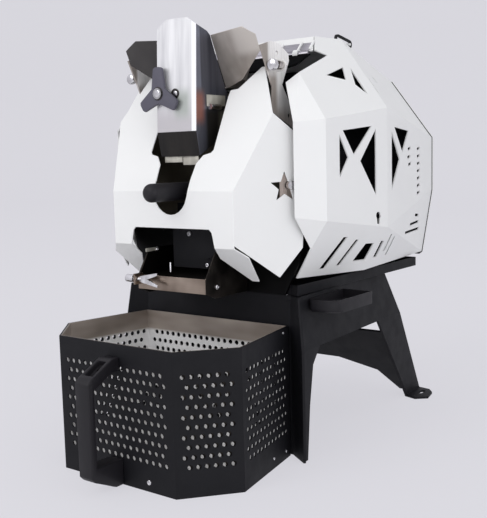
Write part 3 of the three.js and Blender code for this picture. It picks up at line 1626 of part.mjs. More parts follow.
// Feed box: a front plate with a clipped crest, an apron folded in below it and two cheeks
function feedBox() {
  const f = feed;
  const rake = (f.topY - f.footY) / (f.cheekZ - f.footZ);
  const frontY = (z) => f.topY + rake * (z - f.cheekZ);
  const corners = {};
  const rearNames = ['Throat', 'SeatLow', 'SeatHigh', 'BackLow', 'BackTop', 'EarTop'];
  const cheekNames = ['Foot', 'Toe', ...rearNames, 'Cheek'];
  for (const [side, sign] of [['r', 1], ['l', -1]]) {
    const x = sign * f.half;
    corners[`${side}Foot`] = at(x, frontY(f.footZ), f.footZ);
    corners[`${side}Toe`] = at(x, f.toeY, f.toeZ);
    corners[`${side}Throat`] = at(x, f.throatY, f.throatZ);
    corners[`${side}SeatLow`] = at(x, f.seatY, f.seatLow);
    corners[`${side}SeatHigh`] = at(x, f.seatY, f.seatHigh);
    corners[`${side}BackLow`] = at(x, f.backLowY, f.backLowZ);
    corners[`${side}BackTop`] = at(x, f.backTopY, f.backTopZ);
    corners[`${side}EarTop`] = at(x, f.earTopY, f.earTopZ);
    corners[`${side}Cheek`] = at(x, frontY(f.cheekZ), f.cheekZ);
    corners[`${side}Crest`] = at(sign * f.crestHalf, frontY(f.crestZ), f.crestZ);
  }
  const hole = circle(gate.x, gate.z, gate.shaft + RUN).map(([x, z]) => at(x, frontY(z), z));
  return foldedSheet(corners, [
    { ring: ['lFoot', 'rFoot', 'rCheek', 'rCrest', 'lCrest', 'lCheek'], holes: [hole] },
    { ring: ['lToe', 'rToe', 'rFoot', 'lFoot'] },
    { ring: cheekNames.map((name) => `r${name}`) },
    { ring: cheekNames.map((name) => `l${name}`).reverse() },
  ], f.sheet);
}
piece('feed_box', feedBox(), looks.stainless);

// Gate: three-armed knob on a shaft with its blade
function gateKnob() {
  const polar = (radius, angle, side = 0) => [
    radius * Math.sin(angle) + side * Math.cos(angle),
    radius * Math.cos(angle) - side * Math.sin(angle),
  ];
  const outline = [];
  for (let i = 0; i < gate.arms; i += 1) {
    const angle = (2 * Math.PI * i) / gate.arms;
    const next = angle + Math.PI / gate.arms;
    outline.push(
      polar(gate.armTip, angle, -gate.armTipHalf),
      polar(gate.armCrown, angle, -gate.armTipHalf / 2),
      polar(gate.armCrown, angle, gate.armTipHalf / 2),
      polar(gate.armTip, angle, gate.armTipHalf),
      polar(gate.waist, next),
    );
  }
  const placed = outline.map(([a, b]) => [gate.x + a, gate.z + b]).reverse();
  const bore = circle(gate.x, gate.z, gate.shaft + GAP);
  return frontSlab(placed, gate.knobFrontY, gate.knobFrontY + gate.knobDepth, [bore]);
}
piece('gate_knob', gateKnob(), looks.slate);

function gateBlade() {
  const origin = at(gate.x, 0, gate.z);
  const stem = turned(
    [
      [0, gate.knobFrontY - GAP - gate.headDepth],
      [gate.headRadius, gate.knobFrontY - GAP - gate.headDepth],
      [gate.headRadius, gate.knobFrontY - GAP],
      [gate.shaft, gate.knobFrontY - GAP],
      [gate.shaft, gate.bladeRearY],
      [0, gate.bladeRearY],
    ],
    origin, AXIS_Y, SMALL);
  const half = feed.half - feed.sheet - gate.bladeInset;
  const blade = block(
    -half, half, gate.bladeFrontY, gate.bladeRearY,
    gate.z - gate.bladeThick / 2, gate.z + gate.bladeThick / 2);
  return joined(stem, blade);
}
piece('gate_blade', gateBlade(), looks.stainless);

// Hopper
function hopperBody() {
  const h = hopper;
  const innerHalf = feed.half + GAP;
  const wing = (x, z) => at(x, h.wingY + h.wingSweep * (x - innerHalf) + h.wingRake * (z - h.wingZ), z);
  const half = {
    InTop: wing(innerHalf, h.wingZ),
    InLow: wing(innerHalf, h.floorZ),
    Floor: wing(h.floorHalf, h.floorZ),
    Mid: wing(h.midHalf, h.midZ),
    Low: wing(h.outHalf, h.lowZ),
    Out: wing(h.outHalf, h.outZ),
    Top: wing(h.wingTopHalf, h.wingTopZ),
    BackFloor: at(h.backFloorHalf, h.backY, h.floorZ),
    BackMid: at(h.backMidHalf, h.backY, h.midZ),
    BackLow: at(h.backOutHalf, h.backY, h.backLowZ),
    BackOut: at(h.backOutHalf, h.backY, h.backOutZ),
  };
  const corners = {};
  for (const [name, point] of Object.entries(half)) {
    corners[`r${name}`] = point;
    corners[`l${name}`] = at(-point.x, point.y, point.z);
  }
  const pair = (names) => [
    { ring: names.map((name) => `r${name}`) },
    { ring: names.map((name) => `l${name}`).reverse() },
  ];
  const back = ['BackFloor', 'BackMid', 'BackLow', 'BackOut'];
  const facets = [
    ...pair(['InTop', 'InLow', 'Floor', 'Mid', 'Low', 'Out', 'Top']),
    ...pair(['Low', 'BackLow', 'BackOut', 'Out']),
    ...pair(['Mid', 'BackMid', 'BackLow', 'Low']),
    ...pair(['Floor', 'BackFloor', 'BackMid', 'Mid']),
    { ring: ['lInLow', 'lFloor', 'lBackFloor', 'rBackFloor', 'rFloor', 'rInLow'] },
    { ring: [...back.map((name) => `l${name}`), ...back.map((name) => `r${name}`).reverse()] },
  ];
  return foldedSheet(corners, facets, h.sheet);
}
piece('hopper', hopperBody(), looks.stainless);

// Posts and thumbscrews
function hopperPost() {
  const p = post;
  const place = (name) => [p[`${name}Y`], p[`${name}Z`]];
  const rearEdge = ['heel', 'toe', 'knee', 'waist', 'elbow', 'shoulder', 'crownRear'];
  const outline = [...rearEdge, 'crown', 'nose', 'chest'].map(place);
  const holes = ['upperHole', 'lowerHole'].map(place).map(([y, z]) => circle(y, z, p.holeRadius));
  const plateSide = sideSlab(outline, p.inner, p.inner + p.sheet, holes);
  const flangeOutline = [
    [p.inner + p.sheet / 2, p.flangeLow],
    [p.flangeOut - p.flangeClip, p.flangeLow],
    [p.flangeOut, p.flangeLow + p.flangeClip],
    [p.flangeOut, p.flangeHigh - p.flangeClip],
    [p.flangeOut - p.flangeClip, p.flangeHigh],
    [p.inner + p.sheet / 2, p.flangeHigh],
  ];
  const flangeHole = circle(thumb.x, thumb.z, thumb.shank + RUN);
  const flangeFace = frontSlab(flangeOutline, p.flangeY, p.flangeY + p.sheet, [flangeHole]);
  return joined(plateSide, flangeFace);
}
piece('hopper_post_right', hopperPost(), looks.stainless);
piece('hopper_post_left', mirrored(hopperPost()), looks.stainless);

function thumbscrew() {
  const t = thumb;
  const headEnd = t.frontY + t.headDepth;
  const seat = post.flangeY - GAP;
  const profile = [
    [0, t.frontY],
    [t.head, t.frontY],
    [t.head, headEnd],
    [t.neck, headEnd],
    [t.neck, t.collarFrontY],
    [t.collar, t.collarFrontY],
    [t.collar, seat],
    [t.shank, seat],
    [t.shank, t.tailY],
    [0, t.tailY],
  ];
  return turned(profile, at(t.x, 0, t.z), AXIS_Y, SMALL);
}
piece('thumbscrew_right', thumbscrew(), looks.chrome);
piece('thumbscrew_left', mirrored(thumbscrew()), looks.chrome);

// Trier: black handle and steel scoop
const trierAxis = at(0, 0, trier.z);
function trierHandle() {
  const domeSteps = 5;
  const dome = Array.from({ length: domeSteps + 1 }, (_, i) => {
    const angle = (Math.PI / 2) * (i / domeSteps);
    return [trier.radius * Math.sin(angle), trier.frontY + trier.dome * (1 - Math.cos(angle))];
  });
  return turned([...dome, [trier.radius, trier.rearY], [0, trier.rearY]], trierAxis, AXIS_Y);
}
piece('trier_handle', trierHandle(), looks.plastic);

const trough = cutBy(
  bar(trier.troughRadius, trier.troughStart, trier.troughEnd, trierAxis, AXIS_Y, SMALL),
  block(
    -trier.scoop, trier.scoop, trier.troughStart - CUT, trier.troughEnd + CUT,
    trier.z - 2 * trier.scoop, trier.z - trier.troughRadius),
);
const troughTop = block(
  -trier.troughRadius, trier.troughRadius, trier.troughStart, trier.troughEnd,
  trier.z, trier.z + trier.scoop + CUT);
const scoopBar = bar(trier.scoop, trier.rearY + GAP, trier.tipY, trierAxis, AXIS_Y);
piece('trier_scoop', cutBy(scoopBar, trough, troughTop), looks.steel);

// Chute: lip and two walls in one fold, with a slide between them
function chuteBody() {
  const c = chute;
  const corners = {};
  for (const [side, sign] of [['r', 1], ['l', -1]]) {
    const x = sign * c.half;
    corners[`${side}LipLow`] = at(x, c.lipY, c.lipLow);
    corners[`${side}LipHigh`] = at(x, c.lipY, c.lipHigh);
    corners[`${side}Keel`] = at(x, c.keelY, c.keelZ);
    corners[`${side}Heel`] = at(x, c.rearY, c.keelZ);
    corners[`${side}Back`] = at(x, c.rearY, c.wallHigh);
    corners[`${side}Peak`] = at(x, c.wallPeakY, c.wallHigh);
  }
  const sideNames = ['LipLow', 'Keel', 'Heel', 'Back', 'Peak', 'LipHigh'];
  return foldedSheet(corners, [
    { ring: ['lLipLow', 'rLipLow', 'rLipHigh', 'lLipHigh'] },
    { ring: sideNames.map((name) => `r${name}`) },
    { ring: sideNames.map((name) => `l${name}`).reverse() },
  ], c.sheet);
}
piece('chute', chuteBody(), looks.stainless);

const slideHalf = chute.half - chute.sheet - GAP;
const slideFrontY = chute.lipY + chute.sheet + GAP;
const slideOutline = [
  [slideFrontY, chute.slideFrontZ - chute.sheet],
  [chute.rearY, chute.slideRearZ - chute.sheet],
  [chute.rearY, chute.slideRearZ],
  [slideFrontY, chute.slideFrontZ],
];
piece('chute_slide', sideSlab(slideOutline, -slideHalf, slideHalf), looks.stainless);

const lugBack = chute.lipY - GAP;
const lugPlate = sideSlab(
  rectangle(bolt.lugFrontY, lugBack, bolt.z - bolt.lugHalf, bolt.z + bolt.lugHalf),
  bolt.lugInner - bolt.lugSheet, bolt.lugInner, [circle(bolt.y, bolt.z, bolt.neckRadius + RUN)]);
piece('chute_lug', lugPlate, looks.stainless);

function wingBolt() {
  const b = bolt;
  const stem = turned(
    [
      [0, b.knobEnd],
      [b.knobRadius, b.knobEnd],
      [b.knobRadius, b.neckEnd],
      [b.neckRadius, b.neckEnd],
      [b.neckRadius, b.wingStart + b.wingRoot],
      [0, b.wingStart + b.wingRoot],
    ],
    at(0, b.y, b.z), AXIS_X, SMALL);
  const wings = [
    [b.wingStart, -b.wingRoot],
    [b.wingEnd, -b.wingTip],
    [b.wingEnd, -b.wingTip + b.wingRoot],
    [b.wingWaist, 0],
    [b.wingEnd, b.wingTip - b.wingRoot],
    [b.wingEnd, b.wingTip],
    [b.wingStart, b.wingRoot],
  ].map(([x, z]) => [x, b.z + z]);
  return joined(stem, frontSlab(wings, b.y - b.wingThick / 2, b.y + b.wingThick / 2));
}
piece('chute_wing_bolt', wingBolt(), looks.chrome);

// Discharge door with its boss and hinge barrel, the pin and the bracket
const doorPin = at(0, door.pinY, door.pinZ);
function dischargeDoor() {
  const backY = door.frontY + door.sheet;
  const leaf = frontSlab(rectangle(door.left, door.right, door.low, door.high), door.frontY, backY);
  const boss = bar(
    door.bossRadius, door.frontY - door.bossProud, door.frontY + door.sheet / 2,
    at(door.bossX, 0, door.bossZ), AXIS_Y);
  const barrel = bar(door.barrel, door.barrelLeft, door.barrelRight, doorPin, AXIS_X, SMALL);
  const boreEnds = [door.barrelLeft - CUT, door.barrelRight + CUT];
  const bore = bar(door.pinRadius + RUN, ...boreEnds, doorPin, AXIS_X, SMALL);
  return cutBy(joined(leaf, boss, barrel), bore);
}
piece('discharge_door', dischargeDoor(), looks.black);
const hingePin = bar(door.pinRadius, -door.pinHalf, door.pinHalf, doorPin, AXIS_X, SMALL);
piece('door_hinge_pin', hingePin, looks.steel);

function doorBracket() {
  const d = door;
  const backY = plate.frontY - GAP;
  const frontY = backY - d.armSheet;
  const portal = [
    [d.flangeHalf, d.armLow],
    [d.flangeHalf, d.barHigh],
    [-d.flangeHalf, d.barHigh],
    [-d.flangeHalf, d.armLow],
    [-d.flangeInner, d.armLow],
    [-d.flangeInner, d.barLow],
    [d.flangeInner, d.barLow],
    [d.flangeInner, d.armLow],
  ];
  const hole = circle(d.pinY, d.pinZ, d.pinRadius + GAP);
  const arms = [d.armInner, -d.armInner - d.armSheet].map((x) =>
    sideSlab(rectangle(d.armFrontY, backY - WELD, d.armLow, d.armHigh), x, x + d.armSheet, [hole]));
  return joined(frontSlab(portal, frontY, backY), ...arms);
}
piece('door_bracket', doorBracket(), looks.black);

// Cooling basket: outer shell, liner and bridge handle
const basketPlan = [
  [basket.rearHalf, 0],
  [-basket.rearHalf, 0],
  [-basket.wideHalf, basket.wideY],
  [-basket.frontHalf, basket.frontY],
  [basket.frontHalf, basket.frontY],
  [basket.wideHalf, basket.wideY],
];
const linerPlan = inset(basketPlan, basket.wall + GAP);
piece('basket_shell', openTray(basketPlan, 0, basket.height, basket.wall), looks.black);
piece('basket_liner', openTray(linerPlan, basket.wall + GAP, basket.height, basket.liner), looks.stainless);

function basketHandle() {
  const b = basket;
  const seat = b.frontY - GAP;
  const outline = [
    [seat, b.footTopHigh],
    [seat - b.shoulder, b.footTopHigh],
    [b.handleFrontY + b.shoulder / 2, b.bridgeHigh],
    [b.handleFrontY, b.bridgeHigh - b.shoulder / 2],
    [b.handleFrontY, b.bridgeLow + b.shoulder / 2],
    [b.handleFrontY + b.shoulder / 2, b.bridgeLow],
    [seat - b.shoulder, b.footLowLow],
    [seat, b.footLowLow],
    [seat, b.footLowHigh],
    [seat - b.shoulder, b.footLowHigh],
    [b.gripBackY, b.gripLow],
    [b.gripBackY, b.gripHigh],
    [seat - b.shoulder, b.footTopLow],
    [seat, b.footTopLow],
  ];
  return sideSlab(outline, -b.handleHalf, b.handleHalf);
}
piece('basket_handle', basketHandle(), looks.plastic);

export default roaster;
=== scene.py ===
# %% [markdown]
# A bench-top coffee roaster, dressed in Blender.
# The machine is a folded sheet-metal body, white over a black stand, with a stainless feed box
# and hopper in front, a discharge chute and a perforated cooling basket. The solid model of all
# its parts is loaded first and stays where it is; every piece made here is fitted to it.

# %% Load the solid model
import json
import math

import bmesh
import bpy
from mathutils import Matrix, Vector

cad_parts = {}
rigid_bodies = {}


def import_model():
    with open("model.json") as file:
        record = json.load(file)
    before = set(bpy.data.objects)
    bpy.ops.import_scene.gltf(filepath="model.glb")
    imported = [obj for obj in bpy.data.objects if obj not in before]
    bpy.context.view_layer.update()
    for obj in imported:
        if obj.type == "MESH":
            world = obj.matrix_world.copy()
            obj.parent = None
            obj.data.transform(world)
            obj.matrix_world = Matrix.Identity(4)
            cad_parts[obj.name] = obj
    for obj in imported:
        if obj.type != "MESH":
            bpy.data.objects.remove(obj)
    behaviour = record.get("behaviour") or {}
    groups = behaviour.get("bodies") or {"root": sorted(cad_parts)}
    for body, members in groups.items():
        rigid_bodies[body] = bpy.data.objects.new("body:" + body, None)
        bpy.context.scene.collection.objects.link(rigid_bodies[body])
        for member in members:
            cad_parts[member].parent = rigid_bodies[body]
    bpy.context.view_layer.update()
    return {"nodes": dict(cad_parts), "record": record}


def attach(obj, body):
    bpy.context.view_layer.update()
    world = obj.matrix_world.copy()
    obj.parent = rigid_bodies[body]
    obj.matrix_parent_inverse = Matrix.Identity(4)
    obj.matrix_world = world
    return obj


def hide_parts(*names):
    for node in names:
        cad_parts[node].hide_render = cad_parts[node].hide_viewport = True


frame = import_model()
print("solid parts:", len(frame["nodes"]))

# %% [markdown]
# Sizes are easiest to think of in millimetres, measured from the back wall of the basket, so one
# helper turns such a place into metres in the shared frame. A second one clears the selection,
# because an operator acts on everything that is selected.

# %% Units, selection and names
MM = 0.001
BASKET_BACK = -73.05


def at(x, y, z):
    return Vector((x * MM, (y + BASKET_BACK) * MM, z * MM))


def only(*pieces):
    bpy.ops.object.select_all(action="DESELECT")
    for piece in pieces:
        piece.select_set(True)
    bpy.context.view_layer.objects.active = pieces[0]


def called(piece, name):
    piece.name = name
    piece.data.name = name
    return piece


print("basket back wall at y =", round(at(0, 0, 0).y, 5), "m")

# %% [markdown]
# The camera stands to the right of the machine's front, a little above the hopper, and looks
# slightly down. Its place, its angle and its lens were fitted to the basket, stand and body. A
# camera can be aimed by a constraint, but here turn, dip and roll are known, so its three axes
# are worked out from them and set at once.

# %% Camera
CAMERA_PLACE = Vector((0.61335, -0.82695, 0.3302))
CAMERA_TURN, CAMERA_DIP, CAMERA_ROLL = (math.radians(v) for v in (36.967, 6.808, 1.470))
FOCAL_PIXELS, IMAGE_HEIGHT, SENSOR = 843.877, 518, 24.0

ahead = Vector((-math.sin(CAMERA_TURN) * math.cos(CAMERA_DIP),
                math.cos(CAMERA_TURN) * math.cos(CAMERA_DIP), -math.sin(CAMERA_DIP)))
level = Vector((math.cos(CAMERA_TURN), math.sin(CAMERA_TURN), 0))
upright = level.cross(ahead)
across = math.cos(CAMERA_ROLL) * level - math.sin(CAMERA_ROLL) * upright
rise = math.sin(CAMERA_ROLL) * level + math.cos(CAMERA_ROLL) * upright
turned_to_view = Matrix((across, rise, -ahead)).transposed().to_4x4()

bpy.ops.object.select_all(action="DESELECT")
bpy.ops.object.camera_add(location=CAMERA_PLACE)
camera = bpy.context.active_object
camera.matrix_world = Matrix.Translation(CAMERA_PLACE) @ turned_to_view
camera.data.sensor_fit = "VERTICAL"
camera.data.sensor_height = SENSOR
camera.data.lens = SENSOR * FOCAL_PIXELS / IMAGE_HEIGHT
camera.data.clip_start = 0.02
bpy.context.scene.camera = camera
print("lens:", round(camera.data.lens, 2), "mm")

# %% [markdown]
# Shading is wired from a few small nodes over and over, so three helpers keep that short: one for
# arithmetic, one that mixes two shaders and sends the result to the output, and one that tells
# what is looked at from what only gives light.

# %% Node helpers for light


def combined(tree, operation, first, second):
    """A Math node, whose inputs are numbers or the outputs of other nodes."""
    node = tree.nodes.new("ShaderNodeMath")
    node.operation = operation
    for value, socket in zip((first, second), node.inputs):
        if isinstance(value, float):
            socket.default_value = value
        else:
            tree.links.new(value, socket)
    return node.outputs[0]


def show_mixed(tree, factor, under, over, output):
    mix = tree.nodes.new("ShaderNodeMixShader")
    for source, socket in zip((factor, under.outputs[0], over.outputs[0]), mix.inputs):
        tree.links.new(source, socket)
    tree.links.new(mix.outputs[0], tree.nodes[output].inputs["Surface"])


def seen_or_mirrored(tree):
    """1 for what the camera sees, straight or mirrored in metal, and 0 for light on the object."""
    path = tree.nodes.new("ShaderNodeLightPath")
    return combined(tree, "MAXIMUM", path.outputs["Is Camera Ray"], path.outputs["Is Glossy Ray"]), path


# %% [markdown]
# The studio is a pale sheet that runs from the floor up into a wall. Most of what it shows to
# the camera is its own even colour, and the rest is diffuse, so that the machine still leaves a
# faint shadow. A flat floor would end in a horizon, so the far edge of a plane is extruded along
# a quarter circle and then straight up.

# %% Backdrop sheet
BACKDROP = (0.725, 0.717, 0.768)
PAPER = (0.74, 0.735, 0.765)
GLOW_SHARE = 0.8
FLOOR_WIDTH, FLOOR_DEPTH, WALL_HEIGHT = 30, 8, 4
CURVE_STEPS, CURVE_STEP = 8, 0.25

bpy.ops.object.select_all(action="DESELECT")
bpy.ops.mesh.primitive_plane_add(size=1, location=(0, 0, 0))
sweep = bpy.context.active_object
sweep.name = "backdrop"
bpy.ops.object.mode_set(mode="EDIT")
bpy.ops.transform.resize(value=(FLOOR_WIDTH, FLOOR_DEPTH, 1))
mesh = bmesh.from_edit_mesh(sweep.data)
for edge in mesh.edges:
    edge.select = all(v.co.y > 1 for v in edge.verts)
mesh.select_flush_mode()
bmesh.update_edit_mesh(sweep.data)
for step in range(CURVE_STEPS):
    turn = math.radians(90 / CURVE_STEPS * (step + 0.5))
    bpy.ops.mesh.extrude_region_move(
        TRANSFORM_OT_translate={"value": (0, CURVE_STEP * math.cos(turn), CURVE_STEP * math.sin(turn))})
bpy.ops.mesh.extrude_region_move(TRANSFORM_OT_translate={"value": (0, 0, WALL_HEIGHT)})
bpy.ops.object.mode_set(mode="OBJECT")
bpy.ops.object.shade_smooth()

sheet_paint = bpy.data.materials.new("backdrop_paper")
sheet_paint.use_nodes = True
tree = sheet_paint.node_tree
plain = tree.nodes["Principled BSDF"]
plain.inputs["Base Color"].default_value = (*PAPER, 1)
plain.inputs["Roughness"].default_value = 0.9
plain.inputs["Specular IOR Level"].default_value = 0.0
glow = tree.nodes.new("ShaderNodeEmission")
glow.inputs["Color"].default_value = (*BACKDROP, 1)
glow.inputs["Strength"].default_value = 1.0
seen, _ = seen_or_mirrored(tree)
show_mixed(tree, combined(tree, "MULTIPLY", seen, GLOW_SHARE), plain, glow, "Material Output")
sweep.data.materials.append(sheet_paint)
print("backdrop faces:", len(sweep.data.polygons))

# %% [markdown]
# The room lights the machine from all sides at a plain level, at which a colour renders about as
# it is written. Where the camera or a mirror in the metal looks past the sheet, it meets the
# backdrop's colour. Four large soft lamps then give the folded faces their different greys: the
# key from the front left, a weaker one from the right, a faint one above and one near the floor.
# Small lamps would be easier to place, but they leave hard shadows and bright spots.

# %% Colours, sky and lamps
ROOM, ROOM_LEVEL = (0.97, 0.98, 1.0), 0.79
LAMPS = (
    # name, place, point that it faces, size in metres, watts
    ("key_lamp", (-0.7, -2.3, 1.7), (0, 0, 0.25), 1.6, 20.5),
    ("side_lamp", (2.3, -0.5, 1.3), (0, 0, 0.25), 1.6, 5.5),
    ("top_lamp", (0.1, 0.4, 2.4), (0, 0, 0.3), 2.0, 2),
    ("low_lamp", (1.3, -0.9, 0.1), (0, 0, 0.3), 0.8, 4),
)

bpy.context.scene.view_settings.view_transform = "Standard"

world = bpy.data.worlds.new("studio")
bpy.context.scene.world = world
world.use_nodes = True
tree = world.node_tree
room = tree.nodes["Background"]
room.inputs["Color"].default_value = (*ROOM, 1)
room.inputs["Strength"].default_value = ROOM_LEVEL
behind = tree.nodes.new("ShaderNodeBackground")
behind.inputs["Color"].default_value = (*BACKDROP, 1)
behind.inputs["Strength"].default_value = 1.0
seen, path = seen_or_mirrored(tree)
through = combined(tree, "MAXIMUM", seen, path.outputs["Is Transmission Ray"])
show_mixed(tree, through, room, behind, "World Output")

for name, place, aim, size, watts in LAMPS:
    bpy.ops.object.select_all(action="DESELECT")
    bpy.ops.object.light_add(type="AREA", location=place)
    lamp = bpy.context.active_object
    lamp.name = name
    lamp.data.shape = "SQUARE"
    lamp.data.size = size
    lamp.data.energy = watts
    lamp.rotation_euler = (Vector(aim) - Vector(place)).to_track_quat("-Z", "Y").to_euler()
print("lamps:", len(LAMPS))

# %% [markdown]
# Every finish is built from the same few steps: a noise pattern, a range or a tint that it
# drives, and a fine bump. The patterns are read from object coordinates, because the folded
# sheets have no UV map, and because a pattern in millimetres has the same grain on every piece.

# %% Helpers for finishes


def fresh(name):
    finish = bpy.data.materials.new(name)
    finish.use_nodes = True
    tree = finish.node_tree
    return finish, tree, tree.nodes["Principled BSDF"]


def noise(tree, scale, detail=2.0, rough=0.5, stretch=(1, 1, 1)):
    where = tree.nodes.new("ShaderNodeTexCoord")
    place = tree.nodes.new("ShaderNodeMapping")
    place.inputs["Scale"].default_value = stretch
    grain = tree.nodes.new("ShaderNodeTexNoise")
    grain.inputs["Scale"].default_value = scale
    grain.inputs["Detail"].default_value = detail
    grain.inputs["Roughness"].default_value = rough
    tree.links.new(where.outputs["Object"], place.inputs["Vector"])
    tree.links.new(place.outputs["Vector"], grain.inputs["Vector"])
    return grain.outputs["Fac"]


def place_along(tree, axis):
    """The object coordinate along one axis, in metres."""
    where = tree.nodes.new("ShaderNodeTexCoord")
    axes = tree.nodes.new("ShaderNodeSeparateXYZ")
    tree.links.new(where.outputs["Object"], axes.inputs[0])
    return axes.outputs[axis]


def between(tree, factor, low, high, start=0.3, end=0.7, shape="LINEAR"):
    """Goes from low to high while factor goes from start to end."""
    span = tree.nodes.new("ShaderNodeMapRange")
    span.interpolation_type = shape
    span.inputs["From Min"].default_value = start
    span.inputs["From Max"].default_value = end
    span.inputs["To Min"].default_value = low
    span.inputs["To Max"].default_value = high
    tree.links.new(factor, span.inputs["Value"])
    return span.outputs["Result"]


def tint(tree, factor, first, second, start=0.3, end=0.7):
    ramp = tree.nodes.new("ShaderNodeValToRGB")
    for stop, position, color in zip(ramp.color_ramp.elements, (start, end), (first, second)):
        stop.position = position
        stop.color = (*color, 1)
    tree.links.new(factor, ramp.inputs["Fac"])
    return ramp.outputs["Color"]


def mixed(tree, factor, under, over, mode="MIX"):
    """Lays one colour over another, where factor is a number or an output."""
    mix = tree.nodes.new("ShaderNodeMix")
    mix.data_type = "RGBA"
    mix.blend_type = mode
    if isinstance(factor, float):
        mix.inputs["Factor"].default_value = factor
    else:
        tree.links.new(factor, mix.inputs["Factor"])
    tree.links.new(under, mix.inputs["A"])
    if isinstance(over, tuple):
        mix.inputs["B"].default_value = (*over, 1)
    else:
        tree.links.new(over, mix.inputs["B"])
    return mix.outputs["Result"]


def pebble(tree, shader, factor, strength, depth):
    bump = tree.nodes.new("ShaderNodeBump")
    bump.inputs["Strength"].default_value = strength
    bump.inputs["Distance"].default_value = depth
    tree.links.new(factor, bump.inputs["Height"])
    tree.links.new(bump.outputs["Normal"], shader.inputs["Normal"])


# %% [markdown]
# Powder coat is a thin plastic skin baked on steel: its colour drifts a little, its gloss is
# uneven and its surface is finely pebbled. The same recipe, with another grain, also makes the
# moulded grips, a near-black matt coat that paints the top baffle in shade, the rubber belt and
# the lacquer of the circuit board.

# %% Powder coat, moulded plastic and rubber
CLOUD, SPECKLE = 14, 60
PEBBLE_DEPTH = 0.0002


def coat(name, color, gloss, drift=0.94, grain=1400, relief=0.10, shine=0.4):
    finish, tree, shader = fresh(name)
    shader.inputs["Specular IOR Level"].default_value = shine
    shaded = tuple(channel * drift for channel in color)
    tree.links.new(tint(tree, noise(tree, CLOUD, 3), shaded, color), shader.inputs["Base Color"])
    uneven = between(tree, noise(tree, SPECKLE, 2), gloss - 0.05, gloss + 0.05)
    tree.links.new(uneven, shader.inputs["Roughness"])
    pebble(tree, shader, noise(tree, grain, 1), relief, PEBBLE_DEPTH)
    return finish


white_coat = coat("white_powder_coat", (0.85, 0.85, 0.85), 0.5, drift=0.985, shine=0.3)
black_coat = coat("black_powder_coat", (0.0085, 0.0085, 0.011), 0.6, drift=0.75, shine=0.2)
slate_coat = coat("slate_coat", (0.112, 0.108, 0.138), 0.6, drift=0.88, shine=0.2)
grip_plastic = coat("moulded_grip", (0.0115, 0.0105, 0.0135), 0.5,
                    drift=0.8, grain=2600, relief=0.06, shine=0.3)
baffle_shade_coat = coat("baffle_painted_shade", (0.0035, 0.0035, 0.004), 0.9, drift=0.8, shine=0.02)
belt_rubber = coat("belt_rubber", (0.008, 0.008, 0.008), 0.85,
                   drift=0.7, grain=900, relief=0.3, shine=0.2)
board_mask = coat("board_mask", (0.012, 0.09, 0.035), 0.3, drift=0.8, grain=500, relief=0.05)
print("finishes with the backdrop:", len(bpy.data.materials))

# %% [markdown]
# Stainless sheet is brushed in one direction. A noise pattern that is stretched along that
# direction gives the hair-fine streaks in colour, gloss and relief. Polished sheet also picks up
# broad soft bands of the room, so a slow second noise lightens and darkens it. Anisotropic gloss
# could stand for the brushing as well, but it needs tangents, and the streaks are seen close up.

# %% Brushed and turned metal
GRAIN = {"x": (0.02, 1, 1), "y": (1, 0.02, 1), "z": (1, 1, 0.02)}
HAIR_SCALE, HAIR_DEPTH = 900, 0.0001


def brushed_hair(tree, stretch):
    return noise(tree, HAIR_SCALE, 2, 0.6, stretch)


def brushed(name, bright, dark, grain, gloss, bands, streak=0.9):
    finish, tree, shader = fresh(name)
    shader.inputs["Metallic"].default_value = 1.0
    broad = tint(tree, noise(tree, bands, 2), dark, bright, 0.35, 0.65)
    hair = brushed_hair(tree, GRAIN[grain])
    lines = tint(tree, hair, (streak, streak, streak), (1, 1, 1))
    tree.links.new(mixed(tree, 1.0, broad, lines, "MULTIPLY"), shader.inputs["Base Color"])
    tree.links.new(between(tree, hair, gloss - 0.06, gloss + 0.08), shader.inputs["Roughness"])
    pebble(tree, shader, hair, 0.06, HAIR_DEPTH)
    return finish


# The chute's lip and outer wall are tinted brown and dark as painted reflections. The third, near-black
# sheet is painted shade for the chute's inner walls and slide, and for the outward faces of the basket
# liner.
chute_lip = brushed("chute_lip", (0.42, 0.345, 0.285), (0.20, 0.155, 0.125), "x", 0.34, 26)
chute_wall = brushed("chute_wall", (0.17, 0.15, 0.132), (0.035, 0.031, 0.028), "z", 0.34, 22)
chute_shade_steel = brushed("chute_shade_steel", (0.040, 0.035, 0.031), (0.014, 0.013, 0.012), "x", 0.42, 20)
bracket_steel = brushed("bracket_sheet", (0.42, 0.36, 0.32), (0.24, 0.20, 0.18), "z", 0.3, 24)
plain_steel = brushed("machined_steel", (0.50, 0.50, 0.51), (0.34, 0.34, 0.35), "y", 0.32, 30)
rod_steel = brushed("hinge_steel", (0.62, 0.60, 0.64), (0.40, 0.39, 0.42), "x", 0.3, 20)
bright_screw = brushed("bright_screw", (0.86, 0.86, 0.88), (0.55, 0.54, 0.55), "y", 0.16, 90, 0.97)
dark_screw = brushed("dark_screw", (0.10, 0.09, 0.09), (0.03, 0.03, 0.03), "y", 0.28, 60)
collar_steel = brushed("collar_steel", (0.80, 0.76, 0.72), (0.06, 0.045, 0.04), "y", 0.2, 130)
heat_steel = brushed("heater_sheath", (0.30, 0.19, 0.12), (0.10, 0.07, 0.06), "y", 0.4, 40)
print("finishes with the brushed metals:", len(bpy.data.materials))

# %% [markdown]
# Some bright sheets look quite different from place to place, because they mirror what stands
# beside them. Real mirrored objects would have to stand around the machine, so their colour is
# mixed from a few soft-edged fields in object coordinates instead.

# %% Helper for sheets whose colour changes with place


def field(tree, axis, low, high, soft=1.5):
    """1 between two places along an axis in millimetres, 0 outside, with soft ends."""
    shift = BASKET_BACK if axis == "Y" else 0
    along = place_along(tree, axis)
    rises = between(tree, along, 0.0, 1.0,
                    (low - soft + shift) * MM, (low + soft + shift) * MM, "SMOOTHSTEP")
    falls = between(tree, along, 1.0, 0.0,
                    (high - soft + shift) * MM, (high + soft + shift) * MM, "SMOOTHSTEP")
    return combined(tree, "MULTIPLY", rises, falls)


